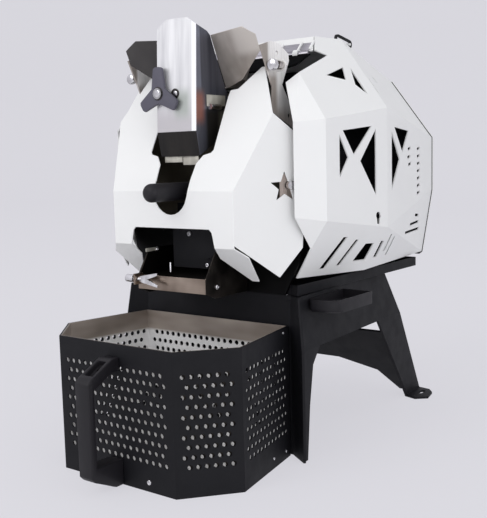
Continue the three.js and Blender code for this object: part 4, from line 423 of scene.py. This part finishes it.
def patch_of(tree, spans):
    """1 where the fields of all spans overlap."""
    total = field(tree, *spans[0])
    for span in spans[1:]:
        total = combined(tree, "MULTIPLY", total, field(tree, *span))
    return total


def mirrored_sheet(name, bright, dark, patches, gloss, streaks, stretch=(1, 1, 0.06),
                   metal=0.45, painted=None):
    """A streaky sheet with patches of painted reflection and shade; it isn't metallic in the painted
    spans, so that a painted highlight there keeps its own colour.
    """
    finish, tree, shader = fresh(name)
    shader.inputs["Metallic"].default_value = metal
    color = tint(tree, noise(tree, streaks, 3, 0.6, stretch), dark, bright, 0.35, 0.65)
    for spans, patch in patches:
        color = mixed(tree, patch_of(tree, spans), color, patch)
    tree.links.new(color, shader.inputs["Base Color"])
    hair = brushed_hair(tree, GRAIN["z"])
    tree.links.new(between(tree, hair, gloss - 0.05, gloss + 0.08), shader.inputs["Roughness"])
    if painted:
        tree.links.new(combined(tree, "SUBTRACT", metal, patch_of(tree, painted)),
                       shader.inputs["Metallic"])
    pebble(tree, shader, hair, 0.05, HAIR_DEPTH)
    return finish


# %% [markdown]
# The feed box has a bright streaky front with a painted highlight along its right fold, and a dark
# cheek with a painted red-brown reflection low down. The hopper is warm grey on its lit wing and
# nearly black on the other, as painted light and painted shade. The posts that hold it are pale
# with brown fields of painted reflection, and the plate behind the cover is dull above the chute
# and painted black below, for the shade in the chute's mouth.

# %% Feed box, hopper, post and plate sheets
# The darker band low on the front and the greenish patch just above it are painted reflections, and the
# white span beside the right fold is a painted highlight, kept matt so its colour shows.
FEED_FOLD_HIGHLIGHT = [("X", 21.5, 60, 0.25)]
feed_front = mirrored_sheet(
    "feed_box_front", (0.90, 0.90, 0.91), (0.60, 0.60, 0.62),
    [([("Z", 300, 385, 14)], (0.58, 0.56, 0.58)),
     ([("X", -2, 18, 5), ("Z", 376, 404, 8)], (0.46, 0.49, 0.46)),
     (FEED_FOLD_HIGHLIGHT, (0.97, 0.97, 0.98))],
    gloss=0.34, streaks=60, metal=0.55, painted=FEED_FOLD_HIGHLIGHT)
# The cheek's patches are painted reflections: a paler band along its front edge, a red-brown one low
# down, a near-black field and a dull brown one below.
feed_cheek = mirrored_sheet(
    "feed_box_cheek", (0.125, 0.128, 0.155), (0.050, 0.052, 0.068),
    [([("Y", -52, -43.5, 1.2), ("Z", 404, 470, 8)], (0.20, 0.21, 0.26)),
     ([("Y", -60, -40, 5), ("Z", 370, 402, 7)], (0.27, 0.115, 0.09)),
     ([("Y", -36, 30, 3), ("Z", 300, 384, 6)], (0.026, 0.024, 0.022)),
     ([("Y", -14, 30, 5), ("Z", 345, 384, 5)], (0.22, 0.21, 0.17))],
    gloss=0.36, streaks=46)
# A near-black painted shade for the downward faces under the feed box.
feed_underside_shade = mirrored_sheet(
    "feed_box_underside_shade", (0.020, 0.017, 0.015), (0.008, 0.007, 0.007), [],
    gloss=0.5, streaks=40, metal=0.5)
# The hopper's wings are lit and shaded copies of one sheet. The right wing's warm grey, with a brighter
# patch near its outer top, is painted light, and the left wing's near-black is painted shade.
hopper_lit_steel = mirrored_sheet(
    "hopper_sheet", (0.58, 0.53, 0.49), (0.33, 0.29, 0.255),
    [([("X", 60, 110, 6), ("Z", 440, 470, 5)], (0.62, 0.575, 0.53))],
    gloss=0.34, streaks=26, stretch=(1, 1, 0.5))
hopper_shade = mirrored_sheet(
    "hopper_sheet_shade", (0.075, 0.070, 0.068), (0.052, 0.048, 0.048), [],
    gloss=0.45, streaks=26, metal=0.4)
# The posts' pale colour and their brown fields are painted reflections of what stands around the
# polished sheet.
post_steel = mirrored_sheet(
    "post_sheet", (0.95, 0.935, 0.92), (0.80, 0.78, 0.76),
    [([("Y", -60, -14, 2.5), ("Z", 418, 470, 4)], (0.34, 0.30, 0.27)),
     ([("Y", -60, 1, 4), ("Z", 340, 418, 7)], (0.38, 0.335, 0.305)),
     ([("Z", 340, 380, 8)], (0.52, 0.47, 0.44))],
    gloss=0.3, streaks=60, metal=0.2)
# From 150 to 264 mm up the plate is painted black, as shade behind the chute's mouth.
plate_steel = mirrored_sheet(
    "drum_plate", (0.165, 0.145, 0.112), (0.085, 0.075, 0.058),
    [([("Z", 150, 264, 1.0)], (0.012, 0.012, 0.0125))],
    gloss=0.42, streaks=50, stretch=(0.3, 0.3, 0.06), metal=1.0)
pale_steel = mirrored_sheet(
    "pale_plate", (0.62, 0.60, 0.53), (0.42, 0.40, 0.35), [],
    gloss=0.36, streaks=60, metal=0.4)
print("finishes with the mirrored sheets:", len(bpy.data.materials))

# %% [markdown]
# Most pieces are folded sheet. The solid model has their true outlines but razor-sharp edges,
# so each one is copied, its loose triangles are merged into clean faces, and every fold and
# edge gets the small radius that bent and coated sheet has. The copy then stands for the solid.
# A sheet could be modelled anew from its outline, but a copy keeps every cut-out where it is.

# %% Copy a solid and round its edges
record = frame["record"]
body_of = {node: body for body, nodes in record["behaviour"]["bodies"].items() for node in nodes}
MERGE_WITHIN = 0.00001
FLAT_WITHIN = 0.6


def merged_copy(node, name):
    only(frame["nodes"][node])
    bpy.ops.object.duplicate()
    piece = called(bpy.context.active_object, name)
    bpy.ops.object.parent_clear(type="CLEAR_KEEP_TRANSFORM")
    for key in list(piece.keys()):
        del piece[key]
    bpy.ops.object.mode_set(mode="EDIT")
    bpy.ops.mesh.select_all(action="SELECT")
    bpy.ops.mesh.remove_doubles(threshold=MERGE_WITHIN)
    bpy.ops.mesh.dissolve_limited(angle_limit=math.radians(FLAT_WITHIN))
    bpy.ops.object.mode_set(mode="OBJECT")
    piece.data.materials.clear()
    return piece


def rounded(piece, radius, fold=12, segments=2):
    """Rounds every edge that is bent by more than fold degrees."""
    only(piece)
    bevel = piece.modifiers.new("edge radius", "BEVEL")
    bevel.width = radius * MM
    bevel.segments = segments
    bevel.limit_method = "ANGLE"
    bevel.angle_limit = math.radians(fold)
    bevel.use_clamp_overlap = True
    bpy.ops.object.modifier_apply(modifier=bevel.name)


def fit(piece, node, finish):
    piece.data.materials.clear()
    piece.data.materials.append(finish)
    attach(piece, body_of[node])
    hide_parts(node)
    return piece


def folded(node, finish, radius, fold=12):
    piece = merged_copy(node, node + "_sheet")
    rounded(piece, radius, fold)
    only(piece)
    bpy.ops.object.shade_flat()
    return fit(piece, node, finish)


def second_finish(piece, finish, wanted):
    piece.data.materials.append(finish)
    for face in piece.data.polygons:
        if wanted(face):
            face.material_index = len(piece.data.materials) - 1


# %% [markdown]
# The body is 1.5 mm sheet under a thick white coat, whose shallow folds count as edges too, and
# the stand is 3 mm sheet in black. The bare steel posts, brackets and chute parts have sharper
# edges. The rear panel is black, but its rim is the white of the body around it.

# %% White body, black stand and small steel sheets
COATED_EDGE, BARE_EDGE, SHALLOW_FOLD = 0.5, 0.3, 9
WHITE_SHEETS = ("shell_right", "shell_left", "roof_lid", "front_cover")
BLACK_SHEETS = ("stand_front_plate", "stand_side_right", "stand_side_left", "stand_rear_plate",
                "base_pan", "motor_bracket", "door_bracket")
BARE_SHEETS = (("hopper_post_right", post_steel), ("hopper_post_left", post_steel),
               ("cover_bracket_right", bracket_steel), ("cover_bracket_left", bracket_steel),
               ("chute_slide", chute_shade_steel), ("chute_lug", chute_lip))

for node in WHITE_SHEETS:
    folded(node, white_coat, COATED_EDGE, SHALLOW_FOLD)
for node in BLACK_SHEETS:
    folded(node, black_coat, COATED_EDGE)
# The top baffle gets a coat darker and duller than the black stand: painted shade.
folded("top_baffle", baffle_shade_coat, COATED_EDGE)
rear_panel = folded("rear_panel", black_coat, COATED_EDGE)
second_finish(rear_panel, white_coat, lambda face: abs(face.normal.y) < 0.5)
for node, finish in BARE_SHEETS:
    folded(node, finish, BARE_EDGE)
print("folded sheets:", len(WHITE_SHEETS) + len(BLACK_SHEETS) + len(BARE_SHEETS) + 2)

# %% [markdown]
# The side tray is a moulded dish, so its upright corners and its bottom edge get a wide radius
# inside and out, and only its rim stays crisp. A bevel on chosen edges does that in one step,
# where a subdivision surface would round the rim too.

# %% Side tray
TRAY_RADIUS, TRAY_RIM_BAND, TRAY_FOLD = 4.2, 0.6, 12

side_tray = merged_copy("side_tray", "side_tray_dish")
tray_rim = max(v.co.z for v in side_tray.data.vertices) - TRAY_RIM_BAND * MM
bpy.ops.object.mode_set(mode="EDIT")
bpy.ops.mesh.select_all(action="DESELECT")
mesh = bmesh.from_edit_mesh(side_tray.data)
for edge in mesh.edges:
    bent = edge.calc_face_angle(0) > math.radians(TRAY_FOLD)
    edge.select = bent and any(v.co.z < tray_rim for v in edge.verts)
mesh.select_flush_mode()
bmesh.update_edit_mesh(side_tray.data)
bpy.ops.mesh.bevel(offset=TRAY_RADIUS * MM, segments=4, affect="EDGES", clamp_overlap=True)
bpy.ops.object.mode_set(mode="OBJECT")
only(side_tray)
bpy.ops.object.shade_smooth_by_angle(angle=math.radians(35))
fit(side_tray, "side_tray", grip_plastic)
print("side tray faces:", len(side_tray.data.polygons))

# %% [markdown]
# The feed box is one folded sheet, but its front is brushed bright while its cheeks mirror the dark
# room and the hopper, so the faces that look sideways get the darker finish of painted reflections,
# and the faces under it a near-black painted shade. The hopper and the chute are split in the same
# way, by where a face lies and which way it looks: the hopper's left wing gets painted shade, the
# chute's lip and outer wall painted reflections, and the chute's inside painted shade.

# %% Feed box, hopper and chute
FEED_EDGE, HOPPER_FOLD = 0.35, 8
SHADED_UNDERSIDE_TOP = 0.36
LIP_FRONT = at(0, -71, 0).y
CHUTE_SIDE = 0.048

feed_box = folded("feed_box", feed_front, FEED_EDGE)
second_finish(feed_box, feed_cheek, lambda face: abs(face.normal.x) > 0.6 or face.normal.y > 0.5)
second_finish(feed_box, feed_underside_shade,
              lambda face: face.normal.z < -0.12 and face.center.z < SHADED_UNDERSIDE_TOP)
hopper = folded("hopper", hopper_lit_steel, FEED_EDGE, HOPPER_FOLD)
second_finish(hopper, hopper_shade, lambda face: face.center.x < 0)

chute = folded("chute", chute_shade_steel, BARE_EDGE)
second_finish(chute, chute_lip, lambda face: face.normal.y < -0.6 and face.center.y < LIP_FRONT)
second_finish(chute, chute_wall,
              lambda face: abs(face.normal.x) > 0.3 and face.center.x > CHUTE_SIDE)
print("feed box faces:", len(feed_box.data.polygons))

# %% [markdown]
# The drum, the drive, the fan and the other parts inside or behind have the right shape in the
# solid model already. They could be copied and rounded as the sheets are, but they are seen
# from afar or not at all. They keep their solids, each with the finish of what it is made of.

# %% Finishes of the parts that keep their solids
SOLID_FINISHES = (
    (plate_steel, ("drum_front_plate",)),
    (black_coat, ("drum_housing", "drum_rear_plate", "lid_pull_loop", "discharge_door")),
    (plain_steel, ("drum", "drum_shaft", "rear_bearing", "drum_pulley", "motor_pulley",
                   "drum_motor", "motor_shaft", "temperature_probe", "door_hinge_pin",
                   "trier_scoop", "drum_roller_right", "drum_roller_left", "gate_blade")),
    (belt_rubber, ("drive_belt",)),
    (grip_plastic, ("fan_frame", "fan_rotor", "power_inlet", "power_switch")),
    (heat_steel, ("heating_element",)),
    (board_mask, ("control_board",)),
    (rod_steel, ("roof_hinge_rod",)),
    (bright_screw, ("cover_screw_right", "cover_screw_left")),
    (post_steel, ("exhaust_collar",)),
)

for finish, nodes in SOLID_FINISHES:
    for node in nodes:
        solid = frame["nodes"][node]
        if solid.material_slots:
            solid.material_slots[0].material = finish
        else:
            solid.data.materials.append(finish)
print("solids finished:", sum(len(nodes) for _, nodes in SOLID_FINISHES))

# %% [markdown]
# The basket is a six-sided bin in black sheet with a stainless liner, both punched with staggered
# round holes. One punch is modelled, copied along each wall as arrays, and cut from the folded
# sheet. The liner is punched a little off the shell's holes, so light comes through as crescents.
# A mask in the material would be lighter, but only real holes show the far wall through them.

# %% Punches for the basket walls
HOLE, PITCH, ROW, ROWS = 5.4, 8.8, 10.1, 10
PUNCH_SIDES, PUNCH_DEPTH = 12, 9
TOP_ROW = 122.0
PLAN = [(105, 0), (125, -112.1), (80, -164.4), (-80, -164.4), (-125, -112.1), (-105, 0)]
MARGIN = 12.0


def repeated(piece, step, count):
    array = piece.modifiers.new("repeat", "ARRAY")
    array.use_relative_offset = False
    array.use_constant_offset = True
    array.constant_offset_displace = step
    array.count = count
    bpy.ops.object.modifier_apply(modifier=array.name)


def punch_wall(start, end, shift, lift):
    run = Vector((end[0] - start[0], end[1] - start[1], 0))
    width = run.length
    run.normalize()
    out = Vector((run.y, -run.x, 0))
    count = int((width - 2 * MARGIN) // PITCH) + 1
    first = (width - (count - 0.5) * PITCH) / 2 + PITCH / 2 + shift
    spot = at(start[0] + run.x * first, start[1] + run.y * first, TOP_ROW + lift)
    bpy.ops.object.select_all(action="DESELECT")
    bpy.ops.mesh.primitive_cylinder_add(
        vertices=PUNCH_SIDES, radius=HOLE / 2 * MM, depth=PUNCH_DEPTH * MM, location=spot,
        rotation=out.to_track_quat("Z", "Y").to_euler())
    punch = bpy.context.active_object
    bpy.ops.object.transform_apply(location=True, rotation=True, scale=True)
    repeated(punch, run * (PITCH * MM), count)
    bpy.ops.object.duplicate()
    other = bpy.context.active_object
    bpy.ops.transform.translate(value=-run * (PITCH / 2 * MM) + Vector((0, 0, -ROW * MM)))
    only(punch, other)
    bpy.ops.object.join()
    repeated(punch, (0, 0, -2 * ROW * MM), ROWS // 2)
    return punch


def punched(piece, shifts, lift=0.0):
    """Cuts the holes of all six walls, each row moved along its wall by its shift."""
    sides = zip(PLAN, PLAN[1:] + PLAN[:1], shifts)
    walls = [punch_wall(start, end, shift, lift) for start, end, shift in sides]
    only(*walls)
    bpy.ops.object.join()
    punches = bpy.context.active_object
    bpy.ops.object.transform_apply(location=True, rotation=True, scale=True)
    cut = piece.modifiers.new("holes", "BOOLEAN")
    cut.operation = "DIFFERENCE"
    cut.solver = "MANIFOLD"
    cut.object = punches
    only(piece)
    bpy.ops.object.modifier_apply(modifier=cut.name)
    bpy.data.objects.remove(punches)
    print(piece.name, "faces after punching:", len(piece.data.polygons))


# %% [markdown]
# The shell's folds and rim are rounded before it is punched, so that the holes keep the crisp
# edge that a punch leaves.

# %% Basket shell
basket_shell = merged_copy("basket_shell", "basket_shell_punched")
rounded(basket_shell, COATED_EDGE)
punched(basket_shell, (0, 0, 0, 0, 0, 0))
bpy.ops.object.shade_flat()
fit(basket_shell, "basket_shell", black_coat)

# %% [markdown]
# The liner is bright where light falls in through the holes. Above the top row a plain band
# mirrors the dark room in warm greys, so the colour changes there. Its outward faces sit in the
# shade between the two walls and get the dark finish of the chute's inside.

# %% Basket liner
BAND_START, BAND_END = 0.1215, 0.1255
LINER_SHIFTS = (-2.6, 1.9, 2.2, 2.0, 2.0, 2.0)
LINER_LIFT, LINER_EDGE = -1.0, 0.25

liner_bright, tree, shader = fresh("liner_sheet")
shader.inputs["Metallic"].default_value = 0.35
band = between(tree, place_along(tree, "Z"), 0.0, 1.0, BAND_START, BAND_END)
hair = brushed_hair(tree, (1, 1, 14))
wide = noise(tree, 11, 2, 0.5, (1, 1, 3))
lower = tint(tree, wide, (0.80, 0.79, 0.78), (0.97, 0.97, 0.97))
upper = tint(tree, wide, (0.20, 0.165, 0.14), (0.46, 0.40, 0.355))
tree.links.new(mixed(tree, band, lower, upper), shader.inputs["Base Color"])
tree.links.new(between(tree, hair, 0.28, 0.4), shader.inputs["Roughness"])
pebble(tree, shader, hair, 0.06, HAIR_DEPTH)

basket_liner = merged_copy("basket_liner", "basket_liner_punched")
rounded(basket_liner, LINER_EDGE)
punched(basket_liner, LINER_SHIFTS, LINER_LIFT)
bpy.ops.object.shade_flat()
fit(basket_liner, "basket_liner", liner_bright)
hub = at(0, -75, 0)


def looks_outward(face):
    away = face.center - hub
    upright_wall = abs(face.normal.z) < 0.5
    return upright_wall and face.normal.x * away.x + face.normal.y * away.y > 0.02


second_finish(basket_liner, chute_shade_steel, looks_outward)

# %% [markdown]
# The bridge handle is a moulding: its corners are well rounded, and both sloping legs have a
# deep pocket for the screw that holds it. The pockets are made by insetting the sloping faces
# and pushing them inwards, which keeps clean faces for the bevel, as a boolean cut might not.

# %% Basket handle
POCKET_INSET, POCKET_NARROWING, POCKET_DEPTH = 3.5, 0.86, 7
HANDLE_EDGE = 1.3


def pick_faces(piece, wanted):
    """Enters edit mode, selects the wanted faces and returns how many they are."""
    bpy.ops.object.mode_set(mode="EDIT")
    bpy.ops.mesh.select_all(action="DESELECT")
    mesh = bmesh.from_edit_mesh(piece.data)
    found = 0
    for face in mesh.faces:
        if wanted(face):
            face.select = True
            found += 1
    bmesh.update_edit_mesh(piece.data)
    return found


def outer_slope(face):
    middle = face.calc_center_median()
    sloping = 0.15 < abs(face.normal.y) < 0.62 and face.calc_area() > 0.0004
    near_an_end = middle.z > 0.122 or middle.z < 0.012
    return sloping and near_an_end and middle.y < at(0, -172, 0).y


basket_handle = merged_copy("basket_handle", "basket_bridge_handle")
only(basket_handle)
slopes = pick_faces(basket_handle, outer_slope)
bpy.ops.mesh.inset(thickness=POCKET_INSET * MM)
bpy.ops.transform.resize(value=(1, POCKET_NARROWING, 1))
bpy.ops.mesh.extrude_region_shrink_fatten(
    TRANSFORM_OT_shrink_fatten={"value": -POCKET_DEPTH * MM})
bpy.ops.object.mode_set(mode="OBJECT")
rounded(basket_handle, HANDLE_EDGE, 20, 3)
bpy.ops.object.shade_smooth_by_angle(angle=math.radians(28))
fit(basket_handle, "basket_handle", grip_plastic)
print("handle slopes with a pocket:", slopes)

# %% [markdown]
# Screws, grips and pins are turned on a lathe. A profile could be spun round an axis in the same
# way, but a cylinder whose end is bevelled gives their plain shapes in fewer steps. A screw head
# adds a recess, made by insetting its end face and pushing it in.

# %% Turned pieces and screws


def turned(name, start, end, radius, sides=32, rim=0.0, rim_steps=3):
    """A cylinder from start to end, with its rim at the end rounded by rim millimetres."""
    start, end = Vector(start), Vector(end)
    axis = end - start
    bpy.ops.object.select_all(action="DESELECT")
    bpy.ops.mesh.primitive_cylinder_add(
        vertices=sides, radius=radius * MM, depth=axis.length, location=(start + end) / 2,
        rotation=axis.to_track_quat("Z", "Y").to_euler())
    piece = called(bpy.context.active_object, name)
    bpy.ops.object.transform_apply(location=True, rotation=True, scale=True)
    if rim:
        tip = axis.normalized()
        bpy.ops.object.mode_set(mode="EDIT")
        mesh = bmesh.from_edit_mesh(piece.data)
        for edge in mesh.edges:
            edge.select = all((v.co - end).dot(tip) > -1e-6 for v in edge.verts)
        mesh.select_flush_mode()
        bmesh.update_edit_mesh(piece.data)
        bpy.ops.mesh.bevel(offset=rim * MM, segments=rim_steps, affect="EDGES")
        bpy.ops.object.mode_set(mode="OBJECT")
    return piece


def recess(piece, end, axis, margin, depth):
    """Insets the face at one end and pushes it in."""
    only(piece)
    axis = Vector(axis).normalized()

    def end_face(face):
        off = (face.calc_center_median() - Vector(end)).dot(axis)
        return face.normal.dot(axis) > 0.99 and abs(off) < 1e-4

    pick_faces(piece, end_face)
    bpy.ops.mesh.inset(thickness=margin * MM)
    bpy.ops.mesh.extrude_region_move(
        TRANSFORM_OT_translate={"value": tuple(-axis * depth * MM)})
    bpy.ops.object.mode_set(mode="OBJECT")


def joined(name, *pieces):
    only(*pieces)
    bpy.ops.object.join()
    return called(bpy.context.active_object, name)


def finish_off(piece, finish, body):
    only(piece)
    bpy.ops.object.shade_smooth_by_angle(angle=math.radians(30))
    piece.data.materials.clear()
    piece.data.materials.append(finish)
    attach(piece, body)
    return piece


def screw(name, seat, out, radius, height, body="machine", finish=bright_screw):
    """A round-headed screw with a recess, standing on a face."""
    out = Vector(out).normalized()
    sunk = out * 0.2 * MM
    top = seat + out * height * MM
    head = turned(name, seat - sunk, top, radius, 24, height * 0.55)
    recess(head, top, out, radius * 0.22, height * 0.6)
    return finish_off(head, finish, body)


# %% [markdown]
# The trier is a sampling scoop that is pulled out of the drum. Its grip is a round black bar
# with a well rounded end, so it is one turned piece with a wide bevel. It rides with the scoop.

# %% Trier grip
TRIER_Z, TRIER_RADIUS, TRIER_ROUNDING = 296, 10, 7.5

grip = turned("trier_grip", at(0, -30, TRIER_Z), at(0, -105, TRIER_Z), TRIER_RADIUS,
              sides=48, rim=TRIER_ROUNDING, rim_steps=8)
finish_off(grip, grip_plastic, "trier")
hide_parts("trier_handle")
print("trier grip length:", round(grip.dimensions.y / MM), "mm")

# %% [markdown]
# Two thumbscrews clamp the hopper to its posts. Each has a knurled head, a thin neck and a dark
# collar against the post. The knurl is made by raising every other face around the head.

# %% Thumbscrews beside the hopper
THUMB_X, THUMB_Z = 102, 426.5


def beside_hopper(sign, y):
    return at(THUMB_X * sign, y, THUMB_Z)


def knurled(name, start, end, radius, ridges=24, raise_by=0.3, rim=0.7):
    piece = turned(name, start, end, radius - raise_by, 2 * ridges, rim, 2)
    span = Vector(end) - Vector(start)
    axis = span.normalized()
    middle = (Vector(start) + Vector(end)) / 2
    only(piece)
    order = {}
    for face in piece.data.polygons:
        off = abs((Vector(face.center) - middle).dot(axis))
        if abs(face.normal.dot(axis)) < 0.05 and off < span.length * 0.3:
            order[face.index] = face.normal.copy()
    side = axis.orthogonal().normalized()
    other = axis.cross(side)
    ranked = sorted(order, key=lambda i: math.atan2(order[i].dot(side), order[i].dot(other)))
    chosen = set(ranked[::2])
    pick_faces(piece, lambda f: f.index in chosen)
    bpy.ops.mesh.extrude_faces_move(TRANSFORM_OT_shrink_fatten={"value": raise_by * MM})
    bpy.ops.object.mode_set(mode="OBJECT")
    return piece


for side, sign in (("right", 1), ("left", -1)):
    head = knurled("thumb_head_" + side, beside_hopper(sign, -13), beside_hopper(sign, -18.5), 6,
                   rim=1.6)
    neck = turned("thumb_neck_" + side, beside_hopper(sign, -7.5), beside_hopper(sign, -13.5), 2.2,
                  sides=24)
    screw_body = joined("thumbscrew_" + side + "_head", head, neck)
    finish_off(screw_body, bright_screw, "screw_" + side)
    collar = turned("thumb_collar_" + side, beside_hopper(sign, -0.3), beside_hopper(sign, -8), 4.6,
                    rim=1.2)
    shank = turned("thumb_shank_" + side, beside_hopper(sign, -1.0), beside_hopper(sign, 9), 2.0,
                   sides=20, rim=0.4)
    dark = joined("thumbscrew_" + side + "_collar", collar, shank)
    finish_off(dark, collar_steel, "screw_" + side)
    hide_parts("thumbscrew_" + side)
    print(screw_body.name, "faces:", len(screw_body.data.polygons))

# %% [markdown]
# The wing bolt on the chute lip is a bright casting and the gate knob is a three-armed plate,
# so both keep the shape of their solids with soft edges. The knob has a domed centre bolt on a
# thin dark ring, and the stop bolt beside it has a bright face in a dark cup.

# %% Wing bolt, gate knob and stop bolt
GATE_X, GATE_Z = -21.5, 402.5
STOP_X, STOP_Z = -1.6, 401.5

wings = merged_copy("chute_wing_bolt", "chute_wing_bolt_cast")
rounded(wings, 0.6, 20, 3)
bpy.ops.object.shade_smooth_by_angle(angle=math.radians(30))
fit(wings, "chute_wing_bolt", bright_screw)

knob = merged_copy("gate_knob", "gate_knob_plate")
rounded(knob, 0.9, 25, 3)
bpy.ops.object.shade_smooth_by_angle(angle=math.radians(25))
fit(knob, "gate_knob", slate_coat)

ring = turned("gate_bolt_ring", at(GATE_X, -58.3, GATE_Z), at(GATE_X, -58.9, GATE_Z), 7.4,
              sides=40, rim=0.25)
finish_off(ring, dark_screw, "gate")
dome = turned("gate_bolt_dome", at(GATE_X, -58.4, GATE_Z), at(GATE_X, -60.4, GATE_Z), 4.9,
              sides=40, rim=1.8, rim_steps=6)
finish_off(dome, bright_screw, "gate")

stop_front = at(STOP_X, -53.4, STOP_Z)
stop = turned("gate_stop_bolt", at(STOP_X, -50.8, STOP_Z), stop_front, 5.6, sides=40, rim=0.8)
recess(stop, stop_front, (0, -1, 0), 1.3, 1.2)
finish_off(stop, dark_screw, "machine")
stop_face = turned("gate_stop_face", at(STOP_X, -51.9, STOP_Z), at(STOP_X, -53.1, STOP_Z), 3.6,
                   sides=40, rim=1.0)
finish_off(stop_face, bright_screw, "machine")
print("gate knob faces:", len(knob.data.polygons))

# %% [markdown]
# The roof lid turns on a steel rod behind the hopper. From the front the rod shows as a grey
# strip between short white tabs that stand up along the lid's front edge. Strip and tabs are
# thin slabs laid along the slope of that edge.

# %% Hinge strip and tabs of the roof lid
edge_low, edge_high = at(0, 67.9, 448.2), at(0, 85, 466)
slope = (edge_high - edge_low).normalized()
lift = Vector((0, -slope.z, slope.y))
STRIP_SPANS = ((-94, -81), (-79, -55), (-53, 53), (55, 79), (81, 94))
TAB_PLACES = (-95.5, -80, -54, 54, 80, 95.5)
TAB_HALF, SUNK = 1.1, 0.2


def slab(name, size, middle=(0, 0, 0)):
    bpy.ops.object.select_all(action="DESELECT")
    bpy.ops.mesh.primitive_cube_add(size=1, location=middle)
    piece = called(bpy.context.active_object, name)
    bpy.ops.object.mode_set(mode="EDIT")
    bpy.ops.mesh.select_all(action="SELECT")
    bpy.ops.transform.resize(value=size)
    bpy.ops.object.mode_set(mode="OBJECT")
    return piece


def plate_on_slope(name, left, right, low, high, proud):
    piece = slab(name, ((right - left) * MM, (high - low) * MM, proud * MM))
    turn = Matrix((Vector((1, 0, 0)), slope, lift)).transposed().to_4x4()
    middle = edge_low + slope * (low + high) / 2 * MM + lift * (proud / 2 - SUNK) * MM
    middle += Vector(((left + right) / 2 * MM, 0, 0))
    piece.matrix_world = Matrix.Translation(middle) @ turn
    bpy.ops.object.transform_apply(location=True, rotation=True, scale=True)
    return piece


strip = joined("roof_hinge_strip", *[
    plate_on_slope(f"strip_{n}", left, right, 0.5, 13.5, 1.0)
    for n, (left, right) in enumerate(STRIP_SPANS)])
rounded(strip, 0.35, 30)
finish_off(strip, rod_steel, "roof")
tab = joined("roof_hinge_tabs", *[
    plate_on_slope(f"tab_{n}", x - TAB_HALF, x + TAB_HALF, 0.5, 14.5, 3.0)
    for n, x in enumerate(TAB_PLACES)])
rounded(tab, 0.5, 30)
finish_off(tab, white_coat, "roof")
print("hinge strips and tabs:", len(STRIP_SPANS), len(TAB_PLACES))

# %% [markdown]
# Small plates and rolls that the solid model leaves to this file, because they carry nothing: the
# toe flanges below the feed box, the bracket on its cheek with its rolled end, a tab with its
# screw in the chute, and two stiffeners under the stand's top edge. A plate is a slab with
# rounded edges, on the face that holds it.

# %% Small plates and rolls
TOE_FLANGES = {"toe_flange_left": ((-25, -46.5, 327.5), (0.5, -45.2, 334.2)),
               "toe_flange_right": ((1.5, -46.5, 324.5), (23.5, -45.2, 334.2))}
CHEEK_BRACKET = (28.1, -36, 387), (29.4, -4, 399.5)
CHUTE_TAB = (-47.6, -60, 227.5), (-46.6, -44, 231.5)
STIFFENERS = {"stand_stiffener_right": ((100, 2, 174), (111, 100, 180.2)),
              "stand_stiffener_left": ((-111, 2, 174), (-100, 100, 180.2))}
PLATE_EDGE = 0.3


def block(name, corners, finish):
    low, high = (at(*corner) for corner in corners)
    piece = slab(name, tuple(high - low), (low + high) / 2)
    bpy.ops.object.transform_apply(location=True, rotation=True, scale=True)
    rounded(piece, PLATE_EDGE, 30)
    return finish_off(piece, finish, "machine")


for name, corners in TOE_FLANGES.items():
    block(name, corners, pale_steel)
block("cheek_bracket", CHEEK_BRACKET, pale_steel)
roll = turned("cheek_roll", at(31.5, -34, 386.5), at(31.5, -16, 386.5), 3.2, sides=24, rim=0.8)
finish_off(roll, bright_screw, "machine")
roll_end = turned("cheek_roll_end", at(31.5, -16.2, 385.5), at(31.5, -7, 385.5), 2.4,
                  sides=24, rim=0.4)
finish_off(roll_end, dark_screw, "machine")
block("chute_tab", CHUTE_TAB, pale_steel)
screw("chute_tab_screw", at(-47.4, -41, 228.9), (1, 0, 0), 3.0, 2.4)
for name, corners in STIFFENERS.items():
    block(name, corners, black_coat)
print("toe flanges and stiffeners:", len(TOE_FLANGES) + len(STIFFENERS))

# %% [markdown]
# The last small hardware is the pin in the chute lip, the ring on the door's round boss, and the
# screws that hold door, chute, basket and handle. A screw is placed by the point where it sits
# and the way it looks. The ring starts as a torus, because its section is round.

# %% Pin, ring and screws
RING_RADIUS, RING_THICKNESS = 16, 1.0
BASKET_SIDE_OUT = (0.984, 0.176, 0)
BASKET_SIDE_SCREWS = (107.6, -14.4, 141.8), (107.5, -12.8, 9.4), (112.9, -43.9, 11.5)
POCKET_OUT = (0, -0.33, 0.94)

screw("chute_wall_screw", at(49, -52.9, 193.2), (1, 0, 0), 3.2, 1.8)
pin = turned("chute_lip_pin", at(-0.5, -71.2, 209), at(-0.5, -71.2, 219.5), 0.9, sides=16, rim=0.4)
finish_off(pin, bright_screw, "machine")
screw("door_bolt_upper", at(-6.2, -31, 247), (0, -1, 0), 3.0, 1.6, "door", plain_steel)
screw("door_bolt_lower", at(19, -31, 212.5), (0, -1, 0), 2.8, 1.6, "door")

bpy.ops.object.select_all(action="DESELECT")
bpy.ops.mesh.primitive_torus_add(
    major_radius=RING_RADIUS * MM, minor_radius=RING_THICKNESS * MM, major_segments=48,
    minor_segments=8, location=at(26, -31.3, 237), rotation=(math.radians(90), 0, 0))
boss_ring = bpy.context.active_object
boss_ring.name = "door_boss_ring"
bpy.ops.object.transform_apply(location=True, rotation=True, scale=True)
finish_off(boss_ring, plain_steel, "door")

screw("basket_front_screw", at(44.7, -164.4, 10.2), (0, -1, 0), 2.7, 1.2, "basket")
for n, place in enumerate(BASKET_SIDE_SCREWS):
    screw(f"basket_side_screw_{n}", at(*place), BASKET_SIDE_OUT, 1.7, 0.8, "basket")
screw("handle_pocket_screw", at(0, -182.0, 122.5), POCKET_OUT, 3.2, 1.6, "basket", collar_steel)
